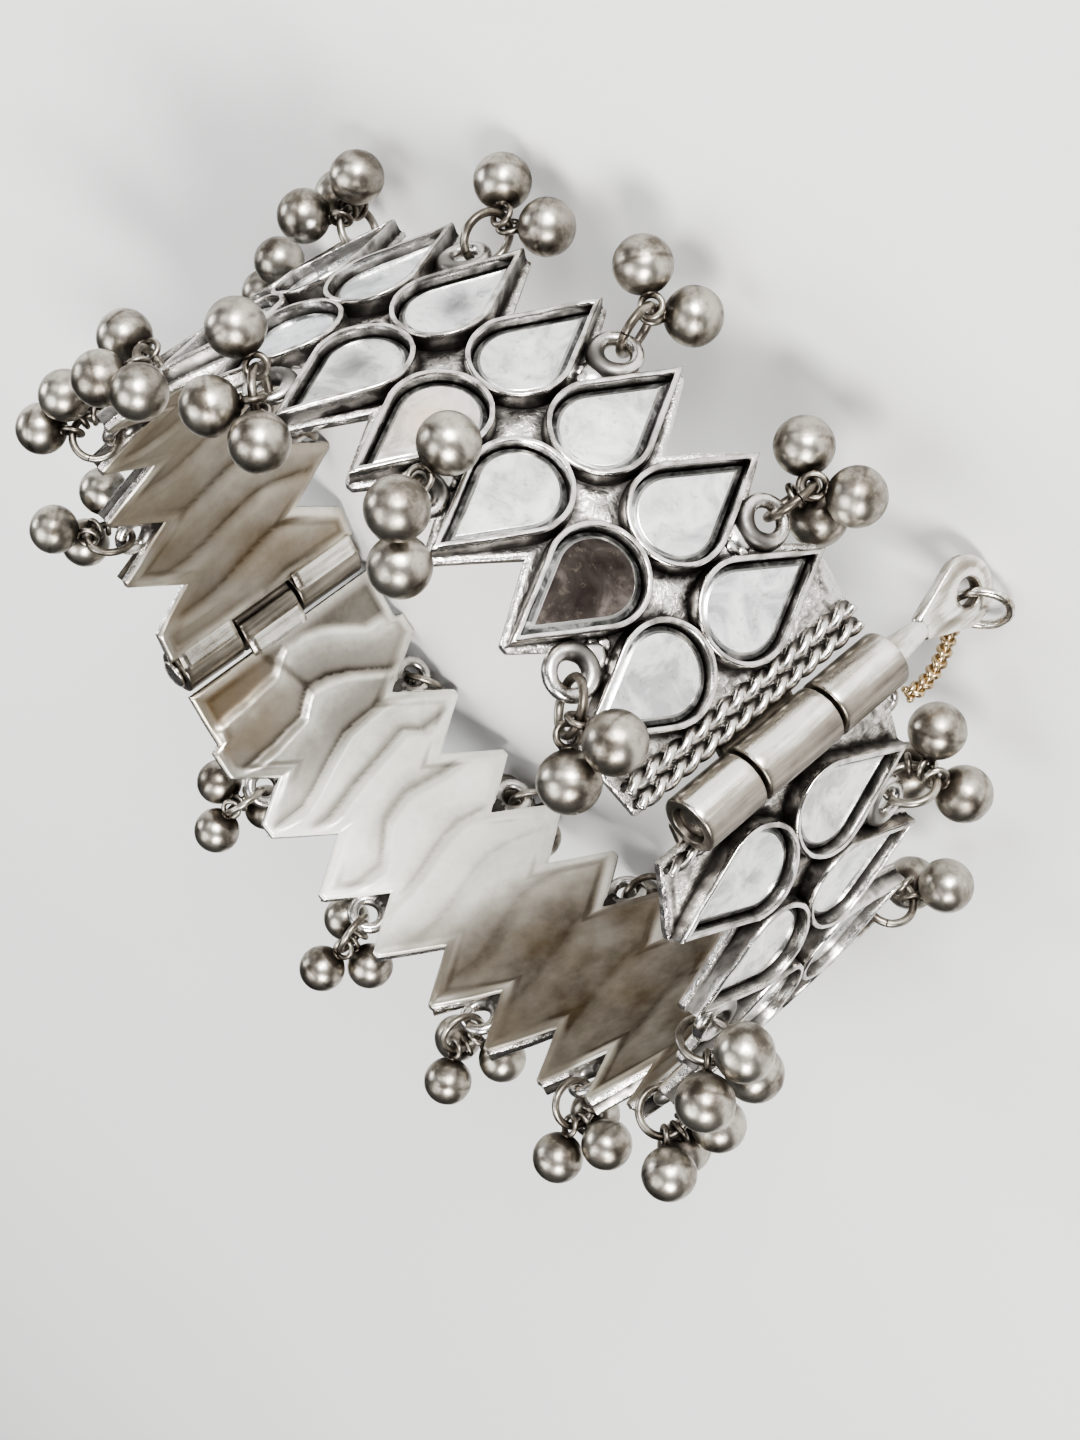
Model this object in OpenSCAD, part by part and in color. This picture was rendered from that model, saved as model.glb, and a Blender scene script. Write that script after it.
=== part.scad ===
// Oxidised silver bangle: an openable band of two hinged halves set with drop mirrors,
// closed by a pulled pin on a short chain, with bead danglers hanging from both rims.
// Millimetres. It lies on its side: +Z is up, and the clasp points along +X.

/* [Band] */
// Inner diameter of the closed band
inner_d = 60; // [59.5:0.5:62]
// Thickness of the base plate
plate_t = 1.0; // [0.9:0.1:1.1]
// Width of the band from tooth tip to tooth tip
band_w = 21.6; // [21.4:0.2:22]

/* [Mirror cups] */
// Outer width of a drop-shaped cup
cup_w = 6.9; // [6.7:0.1:6.9]
// Height of a cup's rim above the plate
cup_h = 1.2; // [1.1:0.05:1.3]
// Thickness of a cup's wall
cup_t = 0.4; // [0.35:0.05:0.45]
// Thickness of a mirror
mirror_t = 0.45; // [0.4:0.05:0.6]

/* [Clasp and hinge] */
// Outer diameter of the tube knuckles
knuckle_d = 4.0; // [3.9:0.1:4.1]
// Diameter of the clasp pin
clasp_pin_d = 2.2; // [2:0.1:2.3]
// Diameter of the hinge pin
hinge_pin_d = 2.0; // [1.8:0.1:2.1]

/* [Danglers] */
// Diameter of a hanging bead
bead_d = 4.0; // [3.8:0.1:4]
// Wire diameter of a jump ring
ring_wire = 0.6; // [0.5:0.05:0.6]

/* [Hidden] */
$fn = 64;
r_in = inner_d / 2;
r_out = r_in + plate_t;
half_w = band_w / 2;
gap = 0.1;

// Columns of two drops: angle of the first, step to the next, and how many
front_columns = 12;
back_columns = 13;
front_first = 14.6;
front_step = 12.9;
back_first = 347.3;
back_step = -12.9;
function front_col(k) = front_first + front_step * k;
function back_col(k) = back_first + back_step * k;

// Drop outline: a circle with two straight sides that meet in a tip at the rim
cup_r = cup_w / 2;
drop_z = cup_r - 0.06;
tip_dist = half_w - 0.1 - drop_z;
tip_a = asin(cup_r / tip_dist);
floor_h = 0.1;

// Notches between the teeth of the plate: distance of the point from the middle, and the half angle
notch_z = 6.0;
notch_a = 33;
// The back half's last notch, by the hinge, is shallower on the upper rim
last_notch_z = 7.2;

// Clasp: the axis of its pin, and the ends of its three knuckles from the top down
clasp_r = r_out + 1.6;
clasp_z = [7.5, 2.4, -4.6, -10.6];
// Hinge: angle and radius of its pin, and the ends of its three knuckles
hinge_a = 176.5;
hinge_r = r_out + 1.3;
hinge_z = [9.4, 3.4, -2.8, -9.6];
slot = 0.3;
end_a = 3.4;
end_z = 10;

// Rim loops: section radius, centreline radius, distance from the band's middle
loop_wire_r = 0.5;
loop_r = 1.35;
loop_z = 8.4;
loop_out = r_out + 0.3;

// Jump rings and the small ring on each bead
jump_r = 1.75;
jump_wire_r = ring_wire / 2;
jump_off = jump_r - loop_wire_r - jump_wire_r - 0.03;
eyelet_r = 0.72;
eyelet_wire_r = 0.22;

// Clasp pin's eye
eye_z = -18.3;
eye_r = 2.45;
eye_hole_r = 0.95;
eye_t = 1.1;

// How the bangle lies: it leans on the pin's eye and on two teeth beside the hinge
rest_tilt = 9.1;
rest_roll = 0.88;
rest_lift = 15.43;
rest_x = -0.06;
rest_y = -0.15;

// Lean of a jump ring round its loop, and where its beads hang: [along the ring, aside]
bead_sets = [
    [[-35, 45], [0, -60], [38, 20]],
    [[-30, -48], [6, 58], [47, -15]],
    [[55, 50], [94, -55], [133, 52]],
    [[55, -45], [92, 52]],
    [[-52, 10], [-5, -52]],
    [[-35, -50], [4, 52], [43, -50]],
    [[-34, 50], [15, -55]],
    [[-59, -10], [37, -22], [99, -49]],
    [[-31, 20], [64, 75], [98, -10]],
    [[-47, 39], [56, 73], [95, -8]],
    [[37, -38], [93, -10]]
];

// Danglers: [angle of the gap, rim (1 upper, -1 lower), turn along the loop, lift from the band, bead set]
function front_gap(j) = front_first + front_step * (j - 0.5);
function back_gap(j) = back_first + back_step * (j - 0.5);
dangler_table = [
    [front_gap(1), 1, 45, 53, 10],
    [front_gap(3), 1, 14, 9, 7],
    [front_gap(5), 1, 43, 30, 8],
    [front_gap(7), 1, 45, 52, 9],
    [front_gap(9), 1, -15, 40, 0],
    [front_gap(11), 1, 10, 30, 1],
    [back_gap(12), 1, 0, 40, 0],
    [back_gap(10), 1, -10, 45, 1],
    [back_gap(8), 1, 15, 40, 0],
    [back_gap(6), 1, 0, 45, 1],
    [back_gap(4), 1, 10, 30, 0],
    [back_gap(2), 1, -10, 20, 1],
    [front_gap(1), -1, 0, 50, 2],
    [front_gap(3), -1, 10, 50, 3],
    [front_gap(5), -1, -10, 40, 3],
    [front_gap(7), -1, 20, 20, 5],
    [front_gap(9), -1, 35, 30, 6],
    [front_gap(11), -1, 54, 0, 4],
    [back_gap(12), -1, 54, 0, 4],
    [back_gap(10), -1, 35, 30, 6],
    [back_gap(8), -1, 20, 20, 5],
    [back_gap(6), -1, 14, 50, 3],
    [back_gap(3), -1, 0, 50, 3],
    [back_gap(1), -1, 0, 50, 2]
];

// Route of the safety chain, from the ring in the pin's eye up to the loop under the clasp
chain_d = 1.3;
chain_route = [
    [30.9, -2.5, -18.0], [31.1, -3.0, -17.0], [31.3, -3.5, -16.0], [31.4, -3.9, -15.0],
    [31.4, -4.2, -14.0], [31.3, -4.3, -13.0], [31.1, -4.2, -12.2]
];

// Puts the upright bangle down the way it lies
module at_rest() {
    translate([rest_x, rest_y, rest_lift]) rotate([-rest_roll, -rest_tilt, 0]) children();
}

module torus(ring_r, wire_r) {
    rotate_extrude() translate([ring_r, 0]) circle(wire_r, $fn = 32);
}

// One drop outline, tip upwards, drawn with its round end at the middle of the band
module drop_outline(r) {
    c = 0.985 * r;
    a = tip_a - 3;
    translate([0, drop_z]) {
        circle(r);
        polygon([[0, r / sin(tip_a)], [-c * cos(a), c * sin(a)], [0, 0], [c * cos(a), c * sin(a)]]);
    }
}

module drop_pair(r) {
    drop_outline(r);
    mirror([0, 1]) drop_outline(r);
}

// Stands an outline on the band at angle a, from radius x0 outwards
module on_band(a, x0, h) {
    rotate([0, 0, a]) translate([x0, 0, 0]) rotate([90, 0, 90]) linear_extrude(h) children();
}

module cup_pair(a) {
    difference() {
        on_band(a, r_out - 0.45, cup_h + 0.45) drop_pair(cup_r);
        on_band(a, r_out + floor_h, cup_h + 1) drop_pair(cup_r - cup_t);
    }
}

module mirror_pair(a) {
    color("gainsboro") at_rest()
        on_band(a, r_out + floor_h + 0.05, mirror_t) drop_pair(cup_r - cup_t - gap);
}

// A stretch of the base plate
module plate(a0, a1, z0, z1) {
    rotate([0, 0, a0]) rotate_extrude(angle = a1 - a0, $fn = 180)
        translate([r_in, z0]) square([plate_t, z1 - z0]);
}

// The tongue that joins a knuckle to the plate, a little thinner than the plate and shorter than the knuckle
module tongue(a0, a1, z0, z1) {
    rotate([0, 0, a0]) rotate_extrude(angle = a1 - a0, $fn = 180)
        translate([r_in + 0.06, z0 + 0.08]) square([plate_t - 0.12, z1 - z0 - 0.16]);
}

// The notch between two teeth, on both rims
module notch(a, upper_z = notch_z) {
    for (s = [1, -1]) {
        z0 = s > 0 ? upper_z : notch_z;
        w = (half_w + 1 - z0) * tan(notch_a);
        on_band(a, r_in - 2, plate_t + 4)
            polygon([[0, s * z0], [w, s * (half_w + 1)], [-w, s * (half_w + 1)]]);
    }
}

// A soldered loop in a notch, with its drop of solder
module rim_loop(a, s) {
    rotate([0, 0, a]) translate([loop_out, 0, s * loop_z]) rotate([0, 90, 0])
        torus(loop_r, loop_wire_r);
    rotate([0, 0, a]) translate([r_in + 0.2, 0, s * 6.35]) rotate([0, 90, 0])
        cylinder(r = 0.8, h = plate_t + 0.55);
}

module knuckle(a, r, z0, z1, bore_r) {
    rotate([0, 0, a]) translate([r, 0, z0]) difference() {
        cylinder(d = knuckle_d, h = z1 - z0);
        translate([0, 0, -1]) cylinder(r = bore_r, h = z1 - z0 + 2);
    }
}

// A twisted wire along the plate's end, drawn plain
module edge_wire(a, d, z0, z1) {
    rotate([0, 0, a]) translate([r_out + 0.4, 0, z0]) cylinder(d = d, h = z1 - z0);
}

module half_front() {
    clasp_bore = clasp_pin_d / 2 + 0.15;
    hinge_bore = hinge_pin_d / 2 + 0.1;
    color("silver") at_rest() {
        difference() {
            plate(end_a, hinge_a - end_a, -half_w, half_w);
            for (k = [0 : front_columns - 1]) notch(front_col(k) + front_step / 2);
            // the plain end by the hinge is a little narrower than the teeth
            for (s = [1, -1]) on_band(hinge_a - 3, r_in - 2, plate_t + 4)
                polygon([[-5.6, s * end_z], [6, s * end_z], [6, s * 14], [-5.6, s * 14]]);
            // the corner by the clasp is cut back to a slant
            on_band(end_a, r_in - 2, plate_t + 4) polygon([[-2, 9.5], [0.3, 9.6], [6.1, 10.9], [6.1, 14], [-2, 14]]);
        }
        tongue(0.8, end_a + 0.5, clasp_z[2] + slot / 2, clasp_z[1] - slot / 2);
        knuckle(0, clasp_r, clasp_z[2] + slot / 2, clasp_z[1] - slot / 2, clasp_bore);
        for (i = [0, 2]) {
            z1 = hinge_z[i] - (i == 0 ? 0 : slot / 2);
            z0 = hinge_z[i + 1] + (i == 0 ? slot / 2 : 0);
            tongue(hinge_a - end_a - 0.5, hinge_a - 0.8, z0, z1);
            knuckle(hinge_a, hinge_r, z0, z1, hinge_bore);
        }
        for (k = [0 : front_columns - 1]) cup_pair(front_col(k));
        for (j = [1, 3, 5, 7, 9, 11], s = [1, -1]) rim_loop(front_gap(j), s);
        edge_wire(6.95, 1.2, -half_w + 0.12, 9.6);
        edge_wire(4.65, 1.2, -half_w + 0.12, 9.4);
    }
}

module half_back() {
    clasp_bore = clasp_pin_d / 2 + 0.15;
    hinge_bore = hinge_pin_d / 2 + 0.1;
    color("silver") at_rest() {
        difference() {
            plate(hinge_a + end_a, 360 - end_a, -half_w, half_w);
            for (k = [0 : back_columns - 2])
                notch(back_col(k) + back_step / 2, k == back_columns - 2 ? last_notch_z : notch_z);
            for (s = [1, -1]) on_band(hinge_a + end_a + 2, r_in - 2, plate_t + 4)
                polygon([[-6, s * end_z], [3.8, s * end_z], [5, s * 14], [-6, s * 14]]);
            on_band(360 - end_a, r_in - 2, plate_t + 4) polygon([[2, 9.5], [-0.3, 9.6], [-4.8, 10.9], [-4.8, 14], [2, 14]]);
        }
        tongue(hinge_a + 0.8, hinge_a + end_a + 0.5, hinge_z[2] + slot / 2, hinge_z[1] - slot / 2);
        knuckle(hinge_a, hinge_r, hinge_z[2] + slot / 2, hinge_z[1] - slot / 2, hinge_bore);
        for (i = [0, 2]) {
            z1 = clasp_z[i] - (i == 0 ? 0 : slot / 2);
            z0 = clasp_z[i + 1] + (i == 0 ? slot / 2 : 0);
            tongue(360 - end_a - 0.5, 360 - 0.8, z0, z1);
            knuckle(0, clasp_r, z0, z1, clasp_bore);
        }
        for (k = [0 : back_columns - 1]) cup_pair(back_col(k));
        for (j = [2, 4, 6, 8, 10, 12]) rim_loop(back_gap(j), 1);
        for (j = [1, 3, 6, 8, 10, 12]) rim_loop(back_gap(j), -1);
        edge_wire(355.4, 1.0, -half_w + 0.12, 9.5);
        // the loop that the safety chain hangs from
        rotate([0, 0, 352.4]) translate([r_in + 0.5, 0, -half_w - 0.4]) rotate([0, 90, 0]) torus(0.75, 0.28);
    }
}

module hinge_pin() {
    color("silver") at_rest() rotate([0, 0, hinge_a]) translate([hinge_r, 0, 0]) {
        translate([0, 0, hinge_z[3] - 0.5]) cylinder(d = hinge_pin_d, h = hinge_z[0] - hinge_z[3] + 1);
        translate([0, 0, hinge_z[0] + gap]) cylinder(d = hinge_pin_d + 0.6, h = 0.4);
        translate([0, 0, hinge_z[3] - gap - 0.4]) cylinder(d = hinge_pin_d + 0.6, h = 0.4);
    }
}

// The pin that is pulled to open the clasp: a rod, a tapered neck and a flat drop-shaped eye
module clasp_pin() {
    neck_r = 0.7;
    eye_a = asin((eye_r - neck_r) / 4.2);
    color("silver") at_rest() translate([clasp_r, 0, 0]) {
        translate([0, 0, clasp_z[3] - 0.5]) cylinder(d = clasp_pin_d, h = clasp_z[0] - clasp_z[3] + 0.2);
        translate([0, 0, clasp_z[3] - 3.4]) cylinder(r1 = neck_r, r2 = clasp_pin_d / 2, h = 3);
        difference() {
            translate([-eye_t / 2, 0, 0]) rotate([90, 0, 90]) linear_extrude(eye_t) {
                translate([0, eye_z]) circle(eye_r);
                polygon([
                    [-neck_r, clasp_z[3] - 3.1], [neck_r, clasp_z[3] - 3.1],
                    [0.97 * eye_r * cos(eye_a), eye_z + 0.97 * eye_r * sin(eye_a)], [0, eye_z],
                    [-0.97 * eye_r * cos(eye_a), eye_z + 0.97 * eye_r * sin(eye_a)]
                ]);
            }
            translate([-2, 0, eye_z]) rotate([0, 90, 0]) cylinder(r = eye_hole_r, h = 4);
        }
    }
}

// The open ring through the eye
module clasp_ring() {
    color("silver") at_rest() translate([clasp_r, 0, eye_z]) rotate([25, 0, 0])
        translate([0, -2.1, 0]) rotate([0, 25, 0]) torus(1.85, 0.32);
}

// A tube swept along points, eight sides a ring
function unit(v) = v / norm(v);
function heading(p, i) = unit(p[min(i + 1, len(p) - 1)] - p[max(i - 1, 0)]);
function side_x(t) = unit(cross(t, [1, 0, 0]));
function tube_ring(p, i, r, n) =
    let (t = heading(p, i), u = side_x(t), v = cross(t, u))
    [for (k = [0 : n - 1]) p[i] + r * (cos(360 * k / n) * u + sin(360 * k / n) * v)];

module tube(p, r, n = 8) {
    m = len(p);
    pts = [for (i = [0 : m - 1]) each tube_ring(p, i, r, n)];
    sides = [for (i = [0 : m - 2], k = [0 : n - 1])
        [i * n + k, i * n + (k + 1) % n, (i + 1) * n + (k + 1) % n, (i + 1) * n + k]];
    polyhedron(pts, concat([[for (k = [n - 1 : -1 : 0]) k]], sides, [[for (k = [0 : n - 1]) (m - 1) * n + k]]));
}

module safety_chain() {
    color("tan") at_rest() tube(chain_route, chain_d / 2);
}

// A jump ring through a rim loop, and the beads on it, each with its own small ring
module dangler(row) {
    color("silver") at_rest() rotate([0, 0, row[0]]) translate([loop_out, 0, row[1] * loop_z])
        rotate([row[1] > 0 ? 0 : 180, 0, 0]) rotate([row[2], 0, 0])
        translate([jump_off * cos(row[3]), 0, loop_r + jump_off * sin(row[3])]) {
            rotate([90, 0, 0]) torus(jump_r, jump_wire_r);
            for (b = bead_sets[row[4]])
                rotate([0, -b[0], 0]) translate([jump_r, 0, 0]) rotate([0, 0, b[1]]) {
                    torus(eyelet_r, eyelet_wire_r);
                    translate([eyelet_r + bead_d / 2 - 0.02, 0, 0]) sphere(d = bead_d);
                }
        }
}

half_front();
half_back();
hinge_pin();
clasp_pin();
clasp_ring();
safety_chain();
mirror_pair(front_col(0));  // mirrors_front_01
mirror_pair(front_col(1));  // mirrors_front_02
mirror_pair(front_col(2));  // mirrors_front_03
mirror_pair(front_col(3));  // mirrors_front_04
mirror_pair(front_col(4));  // mirrors_front_05
mirror_pair(front_col(5));  // mirrors_front_06
mirror_pair(front_col(6));  // mirrors_front_07
mirror_pair(front_col(7));  // mirrors_front_08
mirror_pair(front_col(8));  // mirrors_front_09
mirror_pair(front_col(9));  // mirrors_front_10
mirror_pair(front_col(10));  // mirrors_front_11
mirror_pair(front_col(11));  // mirrors_front_12
mirror_pair(back_col(0));  // mirrors_back_01
mirror_pair(back_col(1));  // mirrors_back_02
mirror_pair(back_col(2));  // mirrors_back_03
mirror_pair(back_col(3));  // mirrors_back_04
mirror_pair(back_col(4));  // mirrors_back_05
mirror_pair(back_col(5));  // mirrors_back_06
mirror_pair(back_col(6));  // mirrors_back_07
mirror_pair(back_col(7));  // mirrors_back_08
mirror_pair(back_col(8));  // mirrors_back_09
mirror_pair(back_col(9));  // mirrors_back_10
mirror_pair(back_col(10));  // mirrors_back_11
mirror_pair(back_col(11));  // mirrors_back_12
mirror_pair(back_col(12));  // mirrors_back_13
dangler(dangler_table[0]);  // dangler_upper_01
dangler(dangler_table[1]);  // dangler_upper_02
dangler(dangler_table[2]);  // dangler_upper_03
dangler(dangler_table[3]);  // dangler_upper_04
dangler(dangler_table[4]);  // dangler_upper_05
dangler(dangler_table[5]);  // dangler_upper_06
dangler(dangler_table[6]);  // dangler_upper_07
dangler(dangler_table[7]);  // dangler_upper_08
dangler(dangler_table[8]);  // dangler_upper_09
dangler(dangler_table[9]);  // dangler_upper_10
dangler(dangler_table[10]);  // dangler_upper_11
dangler(dangler_table[11]);  // dangler_upper_12
dangler(dangler_table[12]);  // dangler_lower_01
dangler(dangler_table[13]);  // dangler_lower_02
dangler(dangler_table[14]);  // dangler_lower_03
dangler(dangler_table[15]);  // dangler_lower_04
dangler(dangler_table[16]);  // dangler_lower_05
dangler(dangler_table[17]);  // dangler_lower_06
dangler(dangler_table[18]);  // dangler_lower_07
dangler(dangler_table[19]);  // dangler_lower_08
dangler(dangler_table[20]);  // dangler_lower_09
dangler(dangler_table[21]);  // dangler_lower_10
dangler(dangler_table[22]);  // dangler_lower_11
dangler(dangler_table[23]);  // dangler_lower_12
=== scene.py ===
import math

import bmesh
import bpy
import numpy as np
from mathutils import Matrix, Vector


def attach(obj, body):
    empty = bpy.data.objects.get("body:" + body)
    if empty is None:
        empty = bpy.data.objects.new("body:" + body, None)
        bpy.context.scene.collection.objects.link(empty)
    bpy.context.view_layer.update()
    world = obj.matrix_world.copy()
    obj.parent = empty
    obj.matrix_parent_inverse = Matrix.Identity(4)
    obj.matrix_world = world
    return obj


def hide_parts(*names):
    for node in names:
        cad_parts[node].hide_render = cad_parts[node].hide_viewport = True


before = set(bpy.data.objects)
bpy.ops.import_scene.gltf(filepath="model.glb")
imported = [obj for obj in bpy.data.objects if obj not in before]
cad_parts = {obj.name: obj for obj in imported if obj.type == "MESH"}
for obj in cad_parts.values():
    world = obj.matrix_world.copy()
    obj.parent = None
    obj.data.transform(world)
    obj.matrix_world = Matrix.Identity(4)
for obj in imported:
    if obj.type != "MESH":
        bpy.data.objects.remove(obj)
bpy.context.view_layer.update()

# ---------------------------------------------------------------- sizes, as in the part's source (millimetres)
R_IN, R_OUT, HALF_W = 30.0, 31.0, 10.8
CUP_R, CUP_H, CUP_T = 3.45, 1.2, 0.4
DROP_Z = CUP_R - 0.06
TIP_DIST = HALF_W - 0.1 - DROP_Z
TIP_A = math.asin(CUP_R / TIP_DIST)
NOTCH_Z, LAST_NOTCH_Z, NOTCH_A = 6.0, 7.2, math.radians(33)
END_A = 3.4
HINGE_A, HINGE_R = 176.5, 32.3
HINGE_Z = [9.4, 3.4, -2.8, -9.6]
CLASP_R = 32.6
CLASP_Z = [7.5, 2.4, -4.6, -10.6]
LOOP_WIRE, LOOP_R, LOOP_Z, LOOP_OUT = 0.5, 1.35, 8.4, 31.3
JUMP_R, JUMP_WIRE = 1.75, 0.3
JUMP_OFF = JUMP_R - LOOP_WIRE - JUMP_WIRE - 0.03
EYELET_R, EYELET_WIRE, BEAD_D = 0.72, 0.22, 4.0
EYE_Z, EYE_R, EYE_HOLE, EYE_T = -18.3, 2.45, 0.95, 1.1
TILT, ROLL, LIFT, SHIFT_X, SHIFT_Y = math.radians(9.1), math.radians(0.88), 15.43, -0.06, -0.15

FRONT_COLS = [14.6 + 12.9 * k for k in range(12)]
BACK_COLS = [347.3 - 12.9 * k for k in range(13)]
# notches between the teeth: angle, and how far from the middle the point lies on the upper and the lower rim
FRONT_NOTCHES = [(a + 6.45, NOTCH_Z, NOTCH_Z) for a in FRONT_COLS]
BACK_NOTCHES = [(a - 6.45, NOTCH_Z if k < 11 else LAST_NOTCH_Z, NOTCH_Z) for k, a in enumerate(BACK_COLS[:-1])]


def front_gap(j):
    return 14.6 + 12.9 * (j - 0.5)


def back_gap(j):
    return 347.3 - 12.9 * (j - 0.5)


BEAD_SETS = [
    [[-35, 45], [0, -60], [38, 20]],
    [[-30, -48], [6, 58], [47, -15]],
    [[55, 50], [94, -55], [133, 52]],
    [[55, -45], [92, 52]],
    [[-52, 10], [-5, -52]],
    [[-35, -50], [4, 52], [43, -50]],
    [[-34, 50], [15, -55]],
    [[-59, -10], [37, -22], [99, -49]],
    [[-31, 20], [64, 75], [98, -10]],
    [[-47, 39], [56, 73], [95, -8]],
    [[37, -38], [93, -10]],
]
DANGLERS = [
    [front_gap(1), 1, 45, 53, 10], [front_gap(3), 1, 14, 9, 7], [front_gap(5), 1, 43, 30, 8],
    [front_gap(7), 1, 45, 52, 9], [front_gap(9), 1, -15, 40, 0], [front_gap(11), 1, 10, 30, 1],
    [back_gap(12), 1, 0, 40, 0], [back_gap(10), 1, -10, 45, 1], [back_gap(8), 1, 15, 40, 0],
    [back_gap(6), 1, 0, 45, 1], [back_gap(4), 1, 10, 30, 0], [back_gap(2), 1, -10, 20, 1],
    [front_gap(1), -1, 0, 50, 2], [front_gap(3), -1, 10, 50, 3], [front_gap(5), -1, -10, 40, 3],
    [front_gap(7), -1, 20, 20, 5], [front_gap(9), -1, 35, 30, 6], [front_gap(11), -1, 54, 0, 4],
    [back_gap(12), -1, 54, 0, 4], [back_gap(10), -1, 35, 30, 6], [back_gap(8), -1, 20, 20, 5],
    [back_gap(6), -1, 14, 50, 3], [back_gap(3), -1, 0, 50, 3], [back_gap(1), -1, 0, 50, 2],
]
CHAIN = [
    [30.9, -2.5, -18.0], [31.1, -3.0, -17.0], [31.3, -3.5, -16.0], [31.4, -3.9, -15.0],
    [31.4, -4.2, -14.0], [31.3, -4.3, -13.0], [31.1, -4.2, -12.2],
]


# ---------------------------------------------------------------- small helpers
def to_world(P):
    """Millimetres in the upright bangle's own frame to metres in the frame it rests in."""
    P = np.asarray(P, float).reshape(-1, 3)
    return (P @ REST.T + [SHIFT_X, SHIFT_Y, LIFT]) * 0.001


def dir_world(v):
    return REST @ np.asarray(v, float)


def rot(axis, deg):
    t = math.radians(deg)
    c, s = math.cos(t), math.sin(t)
    return np.array({
        "x": [[1, 0, 0], [0, c, -s], [0, s, c]],
        "y": [[c, 0, s], [0, 1, 0], [-s, 0, c]],
        "z": [[c, -s, 0], [s, c, 0], [0, 0, 1]],
    }[axis])


REST = rot("y", -math.degrees(TILT)) @ rot("x", -math.degrees(ROLL))


def smooth(x, a, b):
    t = np.clip((x - a) / (b - a), 0, 1)
    return t * t * (3 - 2 * t)


def lattice(i, j, k, seed):
    h = (i * 374761393 + j * 668265263 + k * 1442695041 + seed * 974711) & 0xFFFFFFFF
    h = ((h ^ (h >> 13)) * 1274126177) & 0xFFFFFFFF
    h = ((h ^ (h >> 15)) * 668265263) & 0xFFFFFFFF
    return ((h ^ (h >> 16)) & 0xFFFFFF) / float(0xFFFFFF) * 2 - 1


def noise(P, size, seed=1):
    """Smooth value noise from -1 to 1 at points P, with cells of that size."""
    Q = np.asarray(P, float) / size + 1000.0
    I = np.floor(Q).astype(np.int64)
    F = Q - I
    F = F * F * (3 - 2 * F)
    out = 0
    for dx in (0, 1):
        wx = F[..., 0] if dx else 1 - F[..., 0]
        for dy in (0, 1):
            wy = F[..., 1] if dy else 1 - F[..., 1]
            for dz in (0, 1):
                wz = F[..., 2] if dz else 1 - F[..., 2]
                out = out + wx * wy * wz * lattice(I[..., 0] + dx, I[..., 1] + dy, I[..., 2] + dz, seed)
    return out


def fractal(P, size, seed=1, octaves=3):
    out, amp, total = 0, 1.0, 0.0
    for o in range(octaves):
        out = out + amp * noise(P, size / 2 ** o, seed + 17 * o)
        total += amp
        amp *= 0.5
    return out / total


def grid_quads(m, n, wrap_m=False, wrap_n=False):
    i = np.arange(m if wrap_m else m - 1)
    j = np.arange(n if wrap_n else n - 1)
    I, J = np.meshgrid(i, j, indexing="ij")
    I2, J2 = (I + 1) % m, (J + 1) % n
    return np.stack([I * n + J, I2 * n + J, I2 * n + J2, I * n + J2], -1).reshape(-1, 4)


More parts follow.
